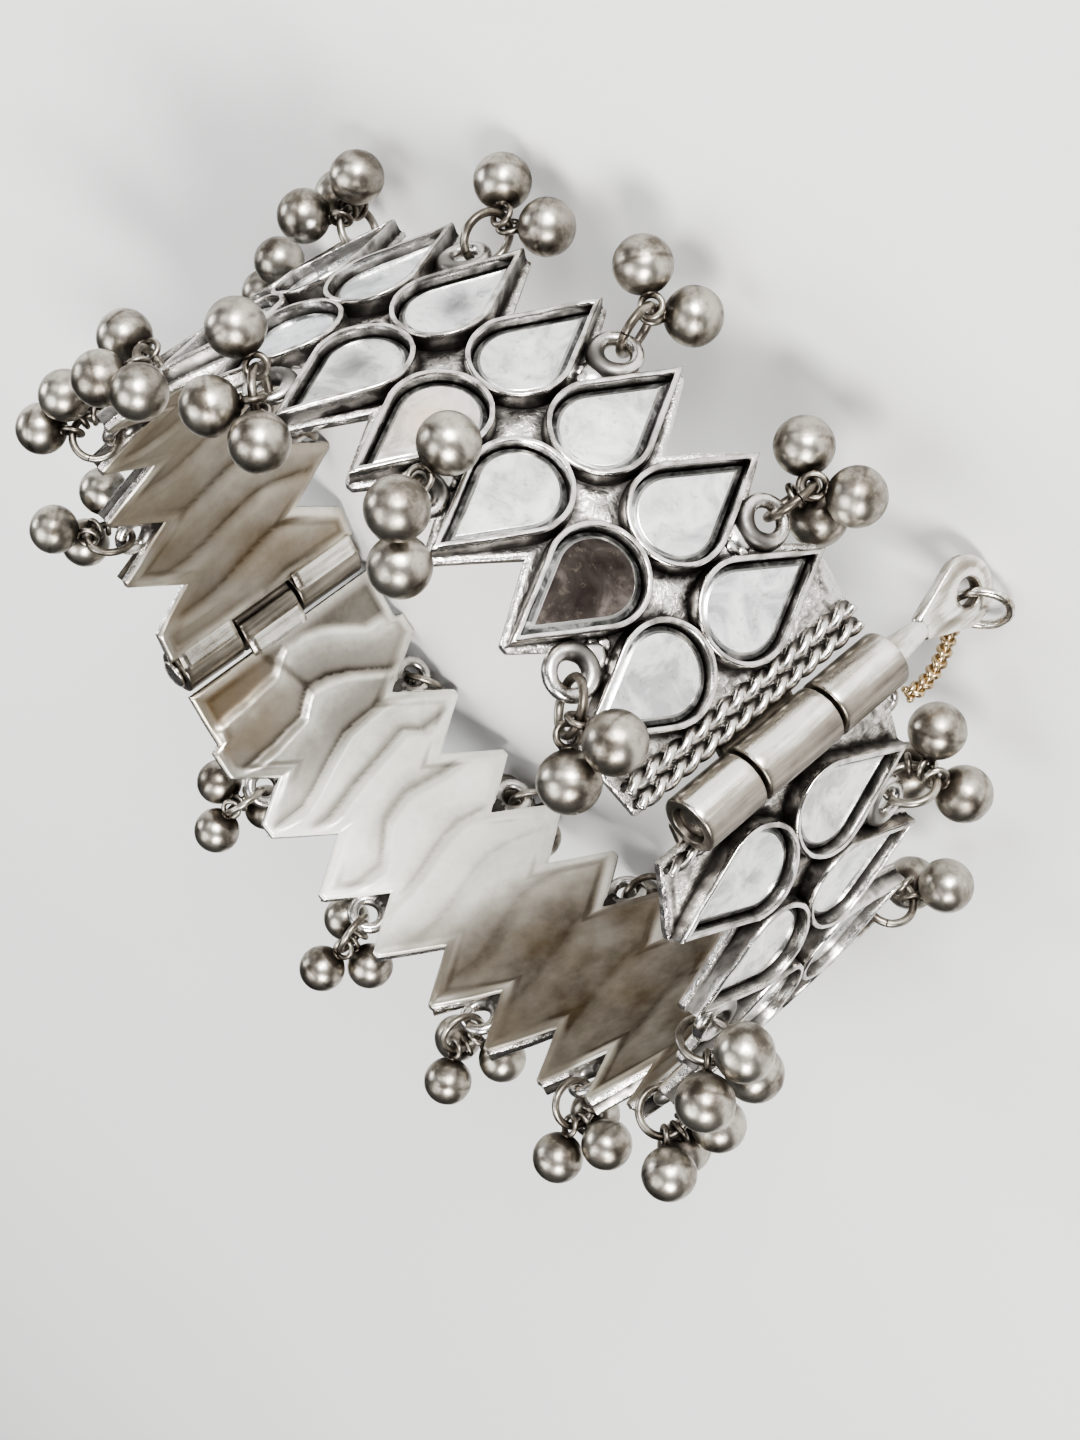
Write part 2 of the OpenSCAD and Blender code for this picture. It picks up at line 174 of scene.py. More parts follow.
class Shape:
    """Collects closed surfaces as arrays, with a few numbers a point for the materials to read."""

    def __init__(self):
        self.P, self.F, self.M, self.A, self.n = [], [], [], {}, 0

    def add(self, P, quads, tris=None, mat=0, **values):
        P = np.asarray(P, float).reshape(-1, 3)
        for key in set(list(self.A) + list(values)):
            v = values.get(key, 0.0)
            v = np.full(len(P), float(v)) if np.isscalar(v) else np.asarray(v, float).reshape(-1)
            self.A.setdefault(key, [np.zeros(self.n)] if self.n else []).append(v)
        q = np.asarray(quads, np.int64).reshape(-1, 4) + self.n
        m = np.full(len(q), mat) if np.isscalar(mat) else np.asarray(mat)
        self.F.append((q, m))
        if tris is not None and len(tris):
            t = np.asarray(tris, np.int64).reshape(-1, 3) + self.n
            self.F.append((t, np.full(len(t), mat if np.isscalar(mat) else 0)))
        self.P.append(P)
        self.n += len(P)

    def tube(self, path, radius, sides=12, closed=True, mat=0, up=None, cap=0.55, **values):
        """A round wire along points. An open one has domed ends."""
        path = np.asarray(path, float)
        m = len(path)
        if closed:
            T = np.roll(path, -1, 0) - np.roll(path, 1, 0)
        else:
            T = np.gradient(path, axis=0)
        T /= np.linalg.norm(T, axis=1)[:, None]
        up = np.array([0.31, 0.22, 0.92]) if up is None else np.asarray(up, float)
        U = np.cross(T, up)
        U /= np.linalg.norm(U, axis=1)[:, None]
        V = np.cross(T, U)
        r = np.full(m, float(radius)) if np.isscalar(radius) else np.asarray(radius, float)
        if not closed:
            e0, e1 = path[0] - T[0] * r[0] * cap, path[-1] + T[-1] * r[-1] * cap
            path = np.vstack([e0, path[0] - T[0] * r[0] * cap * 0.6, path, path[-1] + T[-1] * r[-1] * cap * 0.6, e1])
            U = np.vstack([U[:1], U[:1], U, U[-1:], U[-1:]])
            V = np.vstack([V[:1], V[:1], V, V[-1:], V[-1:]])
            r = np.concatenate([[r[0] * 0.45, r[0] * 0.85], r, [r[-1] * 0.85, r[-1] * 0.45]])
            m += 4
        t = 2 * np.pi * np.arange(sides) / sides
        P = path[:, None] + r[:, None, None] * (np.cos(t)[None, :, None] * U[:, None] + np.sin(t)[None, :, None] * V[:, None])
        quads = grid_quads(m, sides, closed, True)
        vals = {}
        for key, v in values.items():
            if np.isscalar(v):
                vals[key] = v
            else:
                v = np.asarray(v, float)
                if not closed:
                    v = np.concatenate([[v[0]] * 2, v, [v[-1]] * 2])
                vals[key] = np.repeat(v, sides)
        if closed:
            self.add(P, quads, mat=mat, **vals)
        else:
            base = m * sides
            pts = np.vstack([P.reshape(-1, 3), path[:1], path[-1:]])
            k = np.arange(sides)
            tris = np.vstack([
                np.stack([np.full(sides, base), (k + 1) % sides, k], 1),
                np.stack([np.full(sides, base + 1), (m - 1) * sides + k, (m - 1) * sides + (k + 1) % sides], 1),
            ])
            vals = {key: (v if np.isscalar(v) else np.concatenate([v, [v[0], v[-1]]])) for key, v in vals.items()}
            self.add(pts, quads, tris, mat=mat, **vals)

    def ball(self, centre, radius, frame3=None, rings=14, sides=24, mat=0, bumps=0.0, seed=3, squash=1.0, **values):
        """A ball with its poles on the third axis of frame3."""
        B = np.eye(3) if frame3 is None else np.asarray(frame3, float)
        th = np.pi * np.arange(1, rings) / rings
        ph = 2 * np.pi * np.arange(sides) / sides
        D = np.stack([
            np.sin(th)[:, None] * np.cos(ph)[None], np.sin(th)[:, None] * np.sin(ph)[None],
            np.repeat(np.cos(th)[:, None], sides, 1),
        ], -1).reshape(-1, 3)
        D = np.vstack([D, [[0, 0, 1], [0, 0, -1]]])
        local = D * np.array([1, 1, squash])
        rr = radius * (1 + bumps * fractal(D * 2.2 + centre, 1.0, seed, 2)) if bumps else radius
        P = np.asarray(centre) + (local * (rr[:, None] if bumps else rr)) @ B.T
        m = rings - 1
        k = np.arange(sides)
        top, bottom = m * sides, m * sides + 1
        tris = np.vstack([
            np.stack([np.full(sides, top), k, (k + 1) % sides], 1),
            np.stack([np.full(sides, bottom), (m - 1) * sides + (k + 1) % sides, (m - 1) * sides + k], 1),
        ])
        vals = {key: (v(D) if callable(v) else v) for key, v in values.items()}
        self.add(P, grid_quads(m, sides, False, True), tris, mat=mat, **vals)

    def lathe(self, centre, B, profile, sides=48, mat=0, wobble=0.0, seed=5, **values):
        """A closed ring-shaped outline (radius, height) turned about the third axis of B."""
        prof = np.asarray(profile, float)
        ph = 2 * np.pi * np.arange(sides) / sides
        X = prof[None, :, 0] * np.cos(ph)[:, None]
        Y = prof[None, :, 0] * np.sin(ph)[:, None]
        Z = np.repeat(prof[None, :, 1], sides, 0)
        L = np.stack([X, Y, Z], -1)
        P = np.asarray(centre) + L @ np.asarray(B).T
        if wobble:
            n = fractal(P, 1.3, seed, 2)[..., None]
            out = np.stack([np.cos(ph), np.sin(ph), 0 * ph], -1)[:, None, :] @ np.asarray(B).T
            P = P + wobble * n * out
        vals = {}
        for key, v in values.items():
            vals[key] = v if np.isscalar(v) else np.tile(np.asarray(v, float), sides)
        self.add(P, grid_quads(sides, len(prof), True, True), mat=mat, **vals)

    def build(self, name, mats, replaces, slot, sharp=38):
        P = to_world(np.vstack(self.P))
        me = bpy.data.meshes.new(name)
        me.vertices.add(len(P))
        me.vertices.foreach_set("co", P.astype(np.float32).ravel())
        loops = np.concatenate([f.ravel() for f, _ in self.F])
        totals = np.concatenate([np.full(len(f), f.shape[1]) for f, _ in self.F])
        mi = np.concatenate([m for _, m in self.F]).astype(np.int32)
        me.loops.add(len(loops))
        me.loops.foreach_set("vertex_index", loops.astype(np.int32))
        me.polygons.add(len(totals))
        starts = np.concatenate([[0], np.cumsum(totals)[:-1]]).astype(np.int32)
        me.polygons.foreach_set("loop_start", starts)
        me.polygons.foreach_set("material_index", mi)
        me.update(calc_edges=True)
        me.validate()
        bm = bmesh.new()
        bm.from_mesh(me)
        bmesh.ops.recalc_face_normals(bm, faces=bm.faces)
        bm.to_mesh(me)
        bm.free()
        for key, parts in self.A.items():
            a = me.attributes.new(key, "FLOAT", "POINT")
            a.data.foreach_set("value", np.concatenate(parts).astype(np.float32))
        me.polygons.foreach_set("use_smooth", np.ones(len(me.polygons), bool))
        me.set_sharp_from_angle(angle=math.radians(sharp))
        for m in mats:
            me.materials.append(m)
        o = bpy.data.objects.new(name, me)
        bpy.context.scene.collection.objects.link(o)
        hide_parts(*replaces)
        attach(o, "root")
        return o


def radial(a):
    t = math.radians(a)
    return np.array([math.cos(t), math.sin(t), 0.0])


def at(a, r, x, z):
    """Point r out from the axis and x along the tangent, at height z, on the flat that faces angle a."""
    t = np.radians(a)
    r, x, z = np.broadcast_arrays(np.asarray(r, float), np.asarray(x, float), np.asarray(z, float))
    return np.stack([r * np.cos(t) - x * np.sin(t), r * np.sin(t) + x * np.cos(t), z], -1)


# ---------------------------------------------------------------- materials
def node(nt, kind, **props):
    n = nt.nodes.new(kind)
    for key, v in props.items():
        if key in n.inputs:
            n.inputs[key].default_value = v
        else:
            setattr(n, key, v)
    return n


def ramp(nt, fac, stops):
    n = nt.nodes.new("ShaderNodeValToRGB")
    el = n.color_ramp.elements
    while len(el) < len(stops):
        el.new(0.5)
    for e, (pos, c) in zip(el, stops):
        e.position = pos
        e.color = (c, c, c, 1) if np.isscalar(c) else (*c, 1)
    nt.links.new(fac, n.inputs["Fac"])
    return n.outputs["Color"]


def math_node(nt, op, a, b=None, clamp=False):
    n = nt.nodes.new("ShaderNodeMath")
    n.operation = op
    n.use_clamp = clamp
    for i, v in enumerate((a, b)):
        if v is None:
            continue
        if np.isscalar(v):
            n.inputs[i].default_value = v
        else:
            nt.links.new(v, n.inputs[i])
    return n.outputs[0]


def mix(nt, fac, a, b):
    n = nt.nodes.new("ShaderNodeMix")
    n.data_type = "RGBA"
    for sock, v in ((n.inputs["Factor"], fac), (n.inputs["A"], a), (n.inputs["B"], b)):
        if hasattr(v, "is_linked"):
            nt.links.new(v, sock)
        elif np.isscalar(v):
            sock.default_value = v
        else:
            sock.default_value = (*v, 1)
    # the colour sockets are the ones that show for this type
    for sock, v in ((n.inputs[6], a), (n.inputs[7], b)):
        if hasattr(v, "is_linked"):
            nt.links.new(v, sock)
        else:
            sock.default_value = (*v, 1)
    return n.outputs[2]


def noise_tex(nt, vec, scale, detail=3.0, rough=0.55, distortion=0.0):
    n = nt.nodes.new("ShaderNodeTexNoise")
    n.inputs["Scale"].default_value = scale
    n.inputs["Detail"].default_value = detail
    n.inputs["Roughness"].default_value = rough
    n.inputs["Distortion"].default_value = distortion
    nt.links.new(vec, n.inputs["Vector"])
    return n.outputs["Fac"]


def attribute(nt, name):
    n = nt.nodes.new("ShaderNodeAttribute")
    n.attribute_name = name
    return n.outputs["Fac"]


def bump(nt, height, strength, distance, normal=None):
    n = nt.nodes.new("ShaderNodeBump")
    n.inputs["Strength"].default_value = strength
    n.inputs["Distance"].default_value = distance
    nt.links.new(height, n.inputs["Height"])
    if normal is not None:
        nt.links.new(normal, n.inputs["Normal"])
    return n.outputs["Normal"]


def new_material(name):
    m = bpy.data.materials.new(name)
    m.use_nodes = True
    nt = m.node_tree
    shader = nt.nodes["Principled BSDF"]
    vec = nt.nodes.new("ShaderNodeTexCoord").outputs["Object"]
    return m, nt, shader, vec


def patina_metal(name, bright, worn, dark, rough=(0.24, 0.55), grain=0.35, grain_scale=1900, mottle=(0.35, 0.75),
                 dents=0.0, brushed=None, bite=0.35, pits=0.0, matt=False):
    """Silver whose crevices are blackened: bright where it is rubbed, brown-black where the attribute read below is
    high. That attribute holds the oxide in the hollows and, on the knuckles and the inner face, also painted highlight
    and painted shade.
    """
    m, nt, sh, vec = new_material(name)
    pat = attribute(nt, "patina")
    big = noise_tex(nt, vec, 330, 4, 0.6)
    fine = noise_tex(nt, vec, grain_scale, 5, 0.7)
    if brushed:
        turn = nt.nodes.new("ShaderNodeMapping")
        turn.inputs["Rotation"].default_value = (0, TILT, 0)
        nt.links.new(vec, turn.inputs["Vector"])
        mp = nt.nodes.new("ShaderNodeMapping")
        mp.inputs["Scale"].default_value = brushed
        nt.links.new(turn.outputs[0], mp.inputs["Vector"])
        streak = noise_tex(nt, mp.outputs[0], 1.0, 4, 0.6)
        along = math_node(nt, "MULTIPLY_ADD", streak, 1.1)
        nt.nodes[-1].inputs[2].default_value = -0.55
        pat = math_node(nt, "ADD", pat, along)
    shift = math_node(nt, "MULTIPLY_ADD", big, bite)
    nt.nodes[-1].inputs[2].default_value = -bite * 0.5
    shift2 = math_node(nt, "MULTIPLY_ADD", fine, bite * 0.7)
    nt.nodes[-1].inputs[2].default_value = -bite * 0.35
    both = math_node(nt, "ADD", shift, shift2)
    if pits:
        pit = noise_tex(nt, vec, 1250, 4, 0.75, 0.5)
        speck = math_node(nt, "MULTIPLY_ADD", pit, 2.6 * pits)
        nt.nodes[-1].inputs[2].default_value = -1.3 * pits
        weight = math_node(nt, "MULTIPLY_ADD", attribute(nt, "field"), 0.9)
        nt.nodes[-1].inputs[2].default_value = 0.1
        both = math_node(nt, "ADD", both, math_node(nt, "MULTIPLY", speck, weight))
    total = math_node(nt, "ADD", pat, both, clamp=True)
    base = ramp(nt, total, [(0.0, bright), (0.28, worn), (0.62, tuple(0.45 * w + 0.55 * d for w, d in zip(worn, dark))), (0.95, dark)])
    cloud = ramp(nt, noise_tex(nt, vec, 140, 5, 0.65), [(mottle[0], 0.0), (mottle[1], 1.0)])
    tint = mix(nt, cloud, base, mix(nt, 0.35, base, worn))
    tar = attribute(nt, "tarnish")
    tinted = mix(nt, tar, tint, mix(nt, 0.6, tint, (0.33, 0.22, 0.10)))
    nt.links.new(tinted, sh.inputs["Base Color"])
    sh.inputs["Metallic"].default_value = 1.0
    r = ramp(nt, total, [(0.0, rough[0]), (1.0, rough[1])])
    rr = math_node(nt, "MULTIPLY_ADD", fine, 0.14)
    nt.nodes[-1].inputs[2].default_value = -0.07
    nt.links.new(math_node(nt, "ADD", r, rr, clamp=True), sh.inputs["Roughness"])
    normal = bump(nt, fine, grain, 0.00005)
    if dents:
        normal = bump(nt, noise_tex(nt, vec, 420, 2, 0.5), dents, 0.00018, normal)
    if pits:
        normal = bump(nt, pit, pits, 0.00016, normal)
    if matt:
        nt.links.new(math_node(nt, "MULTIPLY_ADD", attribute(nt, "matt"), -0.85), sh.inputs["Metallic"])
        nt.nodes[-1].inputs[2].default_value = 1.0
    if brushed:
        normal = bump(nt, streak, 0.3, 0.00006, normal)
    nt.links.new(normal, sh.inputs["Normal"])
    return m


M_SILVER = patina_metal("oxidised_silver", (0.76, 0.74, 0.715), (0.40, 0.38, 0.36), (0.022, 0.019, 0.018),
                        grain=0.5, dents=0.45, bite=0.42)
M_PLATE = patina_metal("oxidised_silver_plate", (0.76, 0.74, 0.715), (0.40, 0.38, 0.36), (0.022, 0.019, 0.018),
                       grain=0.6, dents=0.55, bite=0.5, pits=0.95)
M_BEZEL = patina_metal("oxidised_silver_bezel", (0.78, 0.76, 0.735), (0.40, 0.38, 0.36), (0.020, 0.018, 0.017),
                       rough=(0.16, 0.5), grain=0.5, grain_scale=2300, dents=0.5, bite=0.5)
M_ROPE = patina_metal("oxidised_silver_rope", (0.78, 0.76, 0.73), (0.36, 0.34, 0.32), (0.018, 0.016, 0.015),
                      rough=(0.24, 0.5), grain=0.4, dents=0.3)
M_INNER = patina_metal("oxidised_silver_inner", (0.955, 0.95, 0.885), (0.50, 0.475, 0.43), (0.075, 0.064, 0.052),
                       rough=(0.34, 0.58), grain=0.25, grain_scale=1500, dents=0.2, bite=0.24, matt=True)
M_SATIN = patina_metal("satin_silver", (0.92, 0.90, 0.86), (0.42, 0.385, 0.335), (0.05, 0.042, 0.036),
                       rough=(0.22, 0.46), grain=0.2, dents=0.12, brushed=(1900, 1900, 130), bite=0.24)
M_BEAD = patina_metal("bead_metal", (0.55, 0.52, 0.465), (0.165, 0.145, 0.122), (0.026, 0.021, 0.018),
                      rough=(0.33, 0.5), grain=0.28, dents=0.55, bite=0.6)
M_CHAIN = patina_metal("chain_metal", (0.56, 0.45, 0.30), (0.34, 0.26, 0.165), (0.05, 0.036, 0.022),
                       rough=(0.26, 0.5), grain=0.3, bite=0.3)


def mirror_material():
    m, nt, sh, vec = new_material("mirror_glass")
    tone, hue, edge = attribute(nt, "tone"), attribute(nt, "hue"), attribute(nt, "edge")
    cloud = noise_tex(nt, vec, 330, 4, 0.6, 0.9)
    specks = ramp(nt, noise_tex(nt, vec, 1500, 4, 0.8), [(0.32, 0.0), (0.43, 1.0)])
    silver = ramp(nt, cloud, [(0.38, (0.50, 0.515, 0.50)), (0.50, (0.78, 0.79, 0.775)), (0.62, (0.97, 0.97, 0.955))])
    warm = ramp(nt, cloud, [(0.36, (0.034, 0.027, 0.024)), (0.54, (0.072, 0.060, 0.054)), (0.70, (0.17, 0.148, 0.135))])
    base = mix(nt, tone, silver, warm)
    base = mix(nt, math_node(nt, "MAXIMUM", hue, 0.0), base, (0.80, 0.62, 0.50))
    base = mix(nt, math_node(nt, "MAXIMUM", math_node(nt, "MULTIPLY", hue, -1.0), 0.0), base, (0.42, 0.50, 0.62))
    speckled = mix(nt, specks, mix(nt, 0.45, base, (0.20, 0.17, 0.14)), base)
    # the outer rings of the glass take the colour of the cup's inner wall: partly that wall's dark oxide, partly
    # painted shade in the gap round the glass
    cup_wall_and_shade = ramp(nt, noise_tex(nt, vec, 620, 4, 0.65, 1.2), [(0.36, (0.05, 0.05, 0.048)), (0.52, (0.18, 0.182, 0.178)), (0.66, (0.46, 0.46, 0.45))])
    walled = mix(nt, edge, speckled, cup_wall_and_shade)
    # painted highlight: a light line on the bevel of the glass (line)
    nt.links.new(mix(nt, math_node(nt, "MULTIPLY", attribute(nt, "line"), 0.8), walled, (0.80, 0.81, 0.80)), sh.inputs["Base Color"])
    sh.inputs["Metallic"].default_value = 0.92
    r = ramp(nt, noise_tex(nt, vec, 420, 4, 0.6), [(0.35, 0.08), (0.65, 0.30)])
    r = mix(nt, edge, r, (0.42, 0.42, 0.42))
    nt.links.new(r, sh.inputs["Roughness"])
    coat = math_node(nt, "MULTIPLY_ADD", tone, -0.5)
    nt.nodes[-1].inputs[2].default_value = 0.6
    nt.links.new(coat, sh.inputs["Coat Weight"])
    sh.inputs["Coat Roughness"].default_value = 0.04
    sh.inputs["Coat IOR"].default_value = 1.5
    n = bump(nt, noise_tex(nt, vec, 170, 2, 0.5), 0.20, 0.0003)
    n = bump(nt, noise_tex(nt, vec, 2400, 3, 0.6), 0.06, 0.00003, n)
    nt.links.new(n, sh.inputs["Normal"])
    return m


M_MIRROR = mirror_material()


# ---------------------------------------------------------------- the base plate
def half_height(a, R, notches, lims, side=1):
    """Distance of the plate's upper (1) or lower (-1) rim from its middle."""
    H = np.full(a.shape, HALF_W)
    for g, up, low in notches:
        H = np.minimum(H, (up if side > 0 else low) + np.abs(R * np.sin(np.radians(a - g))) / math.tan(NOTCH_A))
    for f in lims:
        H = np.minimum(H, f(a, R))
    return H


def rim_distance(a, z, R, notches, flat):
    """Shortest distance from a point of the plate to its toothed rim."""
    d = flat - np.abs(z)
    for g, up, low in notches:
        dx = np.abs(R * np.sin(np.radians(a - g)))
        near = np.abs(((a - g) + 180) % 360 - 180) < 20
        d = np.where(near, np.minimum(d, (np.where(z > 0, up, low) + dx / math.tan(NOTCH_A) - np.abs(z)) * math.sin(NOTCH_A)), d)
    return d


def drop_distance(x, y, r):
    """Signed distance from the outline of a drop of that radius, whose tip points along +y."""
    px, py = np.abs(x), y - DROP_Z
    along = -px * math.sin(TIP_A) + py * math.cos(TIP_A)
    off = px * math.cos(TIP_A) + py * math.sin(TIP_A) - r
    apex = r / math.sin(TIP_A)
    d = np.where(along < 0, np.hypot(px, py) - r, off)
    return np.where(along > r / math.tan(TIP_A), np.hypot(px, py - apex), d)


def cup_distance(a, z, cols, r):
    d = np.full(np.broadcast(a, z).shape, 99.0)
    for c in cols:
        da = ((a - c) + 180) % 360 - 180
        x = np.where(np.abs(da) < 25, R_OUT * np.sin(np.radians(da)), 50.0)
        d = np.minimum(d, drop_distance(x, np.abs(z), r))
    return d


# inner face: lines on which the overlapping ripples begin, as heights and angles; those by the hinge are set one by one
BEND_Z = [-11, -9, -7, -5, -3, -1, 1, 3, 5, 7, 9, 11]
BEND_A = [3.4, 2.6, 1.4, 0.3, -0.5, 0.0, 1.0, 2.3, 3.1, 3.1, 2.4, 1.4]


def bent(a):
    return BEND_Z, [a + b for b in BEND_A]


RIPPLES_BACK = [
    ([-7, -3.5, -1.5, 0.5, 1.5, 2.5, 6, 8.5], [195.5, 191.5, 190, 189.5, 191, 193, 194.5, 194.5]),
    ([-7.5, -4, 0, 2.5, 5.5, 7], [200, 199, 199.5, 201.5, 204, 205]),
    ([-6, -4.5, -0.5, 2.5, 6], [207, 205, 206.5, 207.5, 209]),
    ([-5, -1, 2, 5], [214, 213.5, 215, 220]),
] + [bent(a) for a in (223, 231, 240, 250, 262, 275, 289, 303, 317, 331, 345)]
RIPPLES_FRONT = [bent(a) for a in (12, 24, 37, 50, 63, 76, 89, 102, 115, 127, 138, 147.5, 156, 164, 171.5)]


def ripple(a, z, curves, P):
    """Inward swell of the inner face, 0 to 1, how near a crease a point is, and how far along its ripple it lies."""
    u = a - 0.6 * noise(P, 6.0, 31)
    C = np.stack([np.interp(z, cz, ca) for cz, ca in curves])
    C = np.concatenate([C[:1] - 9, C, C[-1:] + 9])
    idx = np.clip((u[None] >= C).sum(0) - 1, 0, len(C) - 2)[None]
    lo, hi = np.take_along_axis(C, idx, 0)[0], np.take_along_axis(C, idx + 1, 0)[0]
    t = np.clip((u - lo) / (hi - lo), 0, 1)
    w = (hi - lo) * R_IN * math.pi / 180
    rise = np.clip(t * w / 1.0, 0, 1)
    h = rise * rise * (3 - 2 * rise) * (1 - 0.95 * np.clip((t - 1.0 / w) / (1 - 1.0 / w), 0, 1) ** 0.8)
    crease = np.exp(-((t * w) / 0.34) ** 2) + np.exp(-(((1 - t) * w) / 0.40) ** 2)
    return h, np.clip(crease, 0, 1), t


def hinge_fold(a, z):
    """The fold that runs from the first ripple to the hinge."""
    line = np.interp(a, [181, 185, 189.5], [2.6, 1.5, 0.5])
    return np.where((a > 179) & (a < 190), np.exp(-((z - line) / 0.32) ** 2), 0.0)


def plate(name, a0, a1, notches, cols, lims, flat, curves, strength, nodes):
    ga = sorted(g for g, _, _ in notches)
    pitch = abs(ga[1] - ga[0])
    reach = math.degrees(math.asin((HALF_W - NOTCH_Z) * math.tan(NOTCH_A) / 30.6))
    A = []
    for g in ga:
        inner = np.linspace(0, reach, 18 if 182 < g < 236 else 12)
        outer = np.linspace(reach, pitch / 2, 4)[1:]
        half = np.concatenate([inner, outer])
        A += list(g - half) + list(g + half[1:])
    A = np.array(A)
    A = A[(A > a0 + 0.25) & (A < a1 - 0.25)]
    lead = np.arange(a0, A.min() - 0.2, 0.42)
    tail = np.arange(a1, A.max() + 0.2, -0.42)
    A = np.unique(np.round(np.concatenate([lead, [a0 + 0.12, a1 - 0.12], A, tail]), 5))
    keep = np.concatenate([[True], np.diff(A) > 0.06])
    A = A[keep]
    A[0], A[-1] = a0, a1
    offs = np.array([0, 0.1, 0.22, 0.36, 0.55, 0.8, 1.1, 1.5])
    mid = np.linspace(-1, 1, 56)[1:-1]

    def rows(R):
        Hu = half_height(A, R, notches, lims[0], 1)
        Hd = half_height(A, R, notches, lims[1], -1)
        low = -Hd[:, None] + offs[None]
        high = Hu[:, None] - offs[None, ::-1]
        c, h = (Hu - Hd) / 2, (Hu + Hd) / 2 - 1.5
        return np.concatenate([low, c[:, None] + h[:, None] * mid[None], high], 1)

    Zo, Zi = rows(R_OUT), rows(R_IN + 0.3)
    n = Zo.shape[1]
    Ao = np.repeat(A[:, None], n, 1)
    end = np.minimum(np.abs(Ao - a0), np.abs(Ao - a1)) * R_OUT * math.pi / 180
    # outer face
    d = np.minimum(rim_distance(Ao, Zo, R_OUT, notches, np.minimum(flat, half_height(Ao, R_OUT, [], lims[0]))), end)
    d = np.maximum(d, 0)
    Q = np.stack([R_OUT * np.cos(np.radians(Ao)), R_OUT * np.sin(np.radians(Ao)), Zo], -1)
    sd = cup_distance(Ao, Zo, cols, CUP_R)
    n1, n2 = fractal(Q, 0.9, 11, 3), noise(Q, 0.35, 23)
    lip = smooth(0.46 - np.abs(d - 0.24), 0.0, 0.24)
    Ro = R_OUT + 0.14 * lip * (1 + 0.35 * n1) - 0.1 * smooth(0.2 - d, 0, 0.2)
    n3 = fractal(Q * [1, 1, 0.45], 0.5, 29, 2)
    Ro += np.where(sd > 0.1, 0.06 * n1 + 0.035 * n3, 0) * (1 - lip)
    Ro += 0.13 * smooth(sd, 0.2, 0.8) * (1 - lip)
    pat = 1.0 - 0.92 * smooth(sd + 0.2 * n1 + 0.12 * n3, 0.14, 0.62) + 0.3 * np.clip(n3, 0, 1)
    groove = smooth(0.34 - np.abs(d - 0.66), 0, 0.3)
    pat = np.maximum(pat, 0.75 * groove)
    pat = pat * (1 - 0.96 * lip)
    pat = np.clip(pat + 0.12 * n2, 0, 1)
    # inner face
    Ai = Ao
    Qi = np.stack([R_IN * np.cos(np.radians(Ai)), R_IN * np.sin(np.radians(Ai)), Zi], -1)
    h, crease, along = ripple(Ai, Zi, curves, Qi)
    arm = hinge_fold(Ai, Zi)
    amp = strength(Ai, Zi)
    di = np.maximum(np.minimum(rim_distance(Ai, Zi, R_IN + 0.3, notches, np.minimum(flat, half_height(Ai, R_IN, [], lims[0]))), end), 0)
    fade = smooth(di, 0.0, 1.4)
    lumps = fractal(Qi, 4.5, 41, 2)
    fold = smooth(0.62 - np.abs(di - 0.5), 0.0, 0.32)
    fold *= 0.3 + 0.7 * smooth(noise(Qi, 4.0, 57), -0.35, 0.35)
    Ri = R_IN + 0.5 - amp * 0.48 * h * fade - (0.06 + 0.26 * np.clip(1 - amp, 0, 1)) * lumps * fade - 0.15 * fold
    Ri += 0.1 * arm - 0.02 * fractal(Qi, 1.1, 7, 2)
    Ri = np.clip(Ri, R_IN - 0.05, R_IN + 0.62) + 0.1 * smooth(0.16 - di, 0, 0.16)
    Ri = np.where(Zi < 0, np.minimum(Ri + 0.2 * smooth(1.2 - di, 0, 1.2), R_IN + 0.72), Ri)
    tone_and_highlight = tone_and_highlight_inside(Ai, Zi, Qi)
    # painted shade and painted highlight on the inner face: darker in each crease and towards the end of each ripple,
    # lighter a little past each crease (lit)
    lit = smooth(0.24 - np.abs(along - 0.22), 0, 0.2)
    pi = 0.14 + amp * (0.44 * crease + 0.26 * smooth(along, 0.4, 1.0) - 0.16 * lit) * fade + tone_and_highlight[0] + 0.45 * arm
    # painted highlight along the rim of the inner face: in patches its last millimetre is made lighter, with a darker
    # band about 1.2 mm in
    rim_highlight_patches = smooth(noise(Qi, 4.0, 57), -0.35, 0.35)
    pi += 0.24 * rim_highlight_patches * smooth(0.34 - np.abs(di - 1.2 - 0.15 * lumps), 0, 0.3)
    pi = np.clip(pi * (1 - (0.25 + 0.65 * rim_highlight_patches) * smooth(1.0 - di, 0, 0.5)), 0, 1)
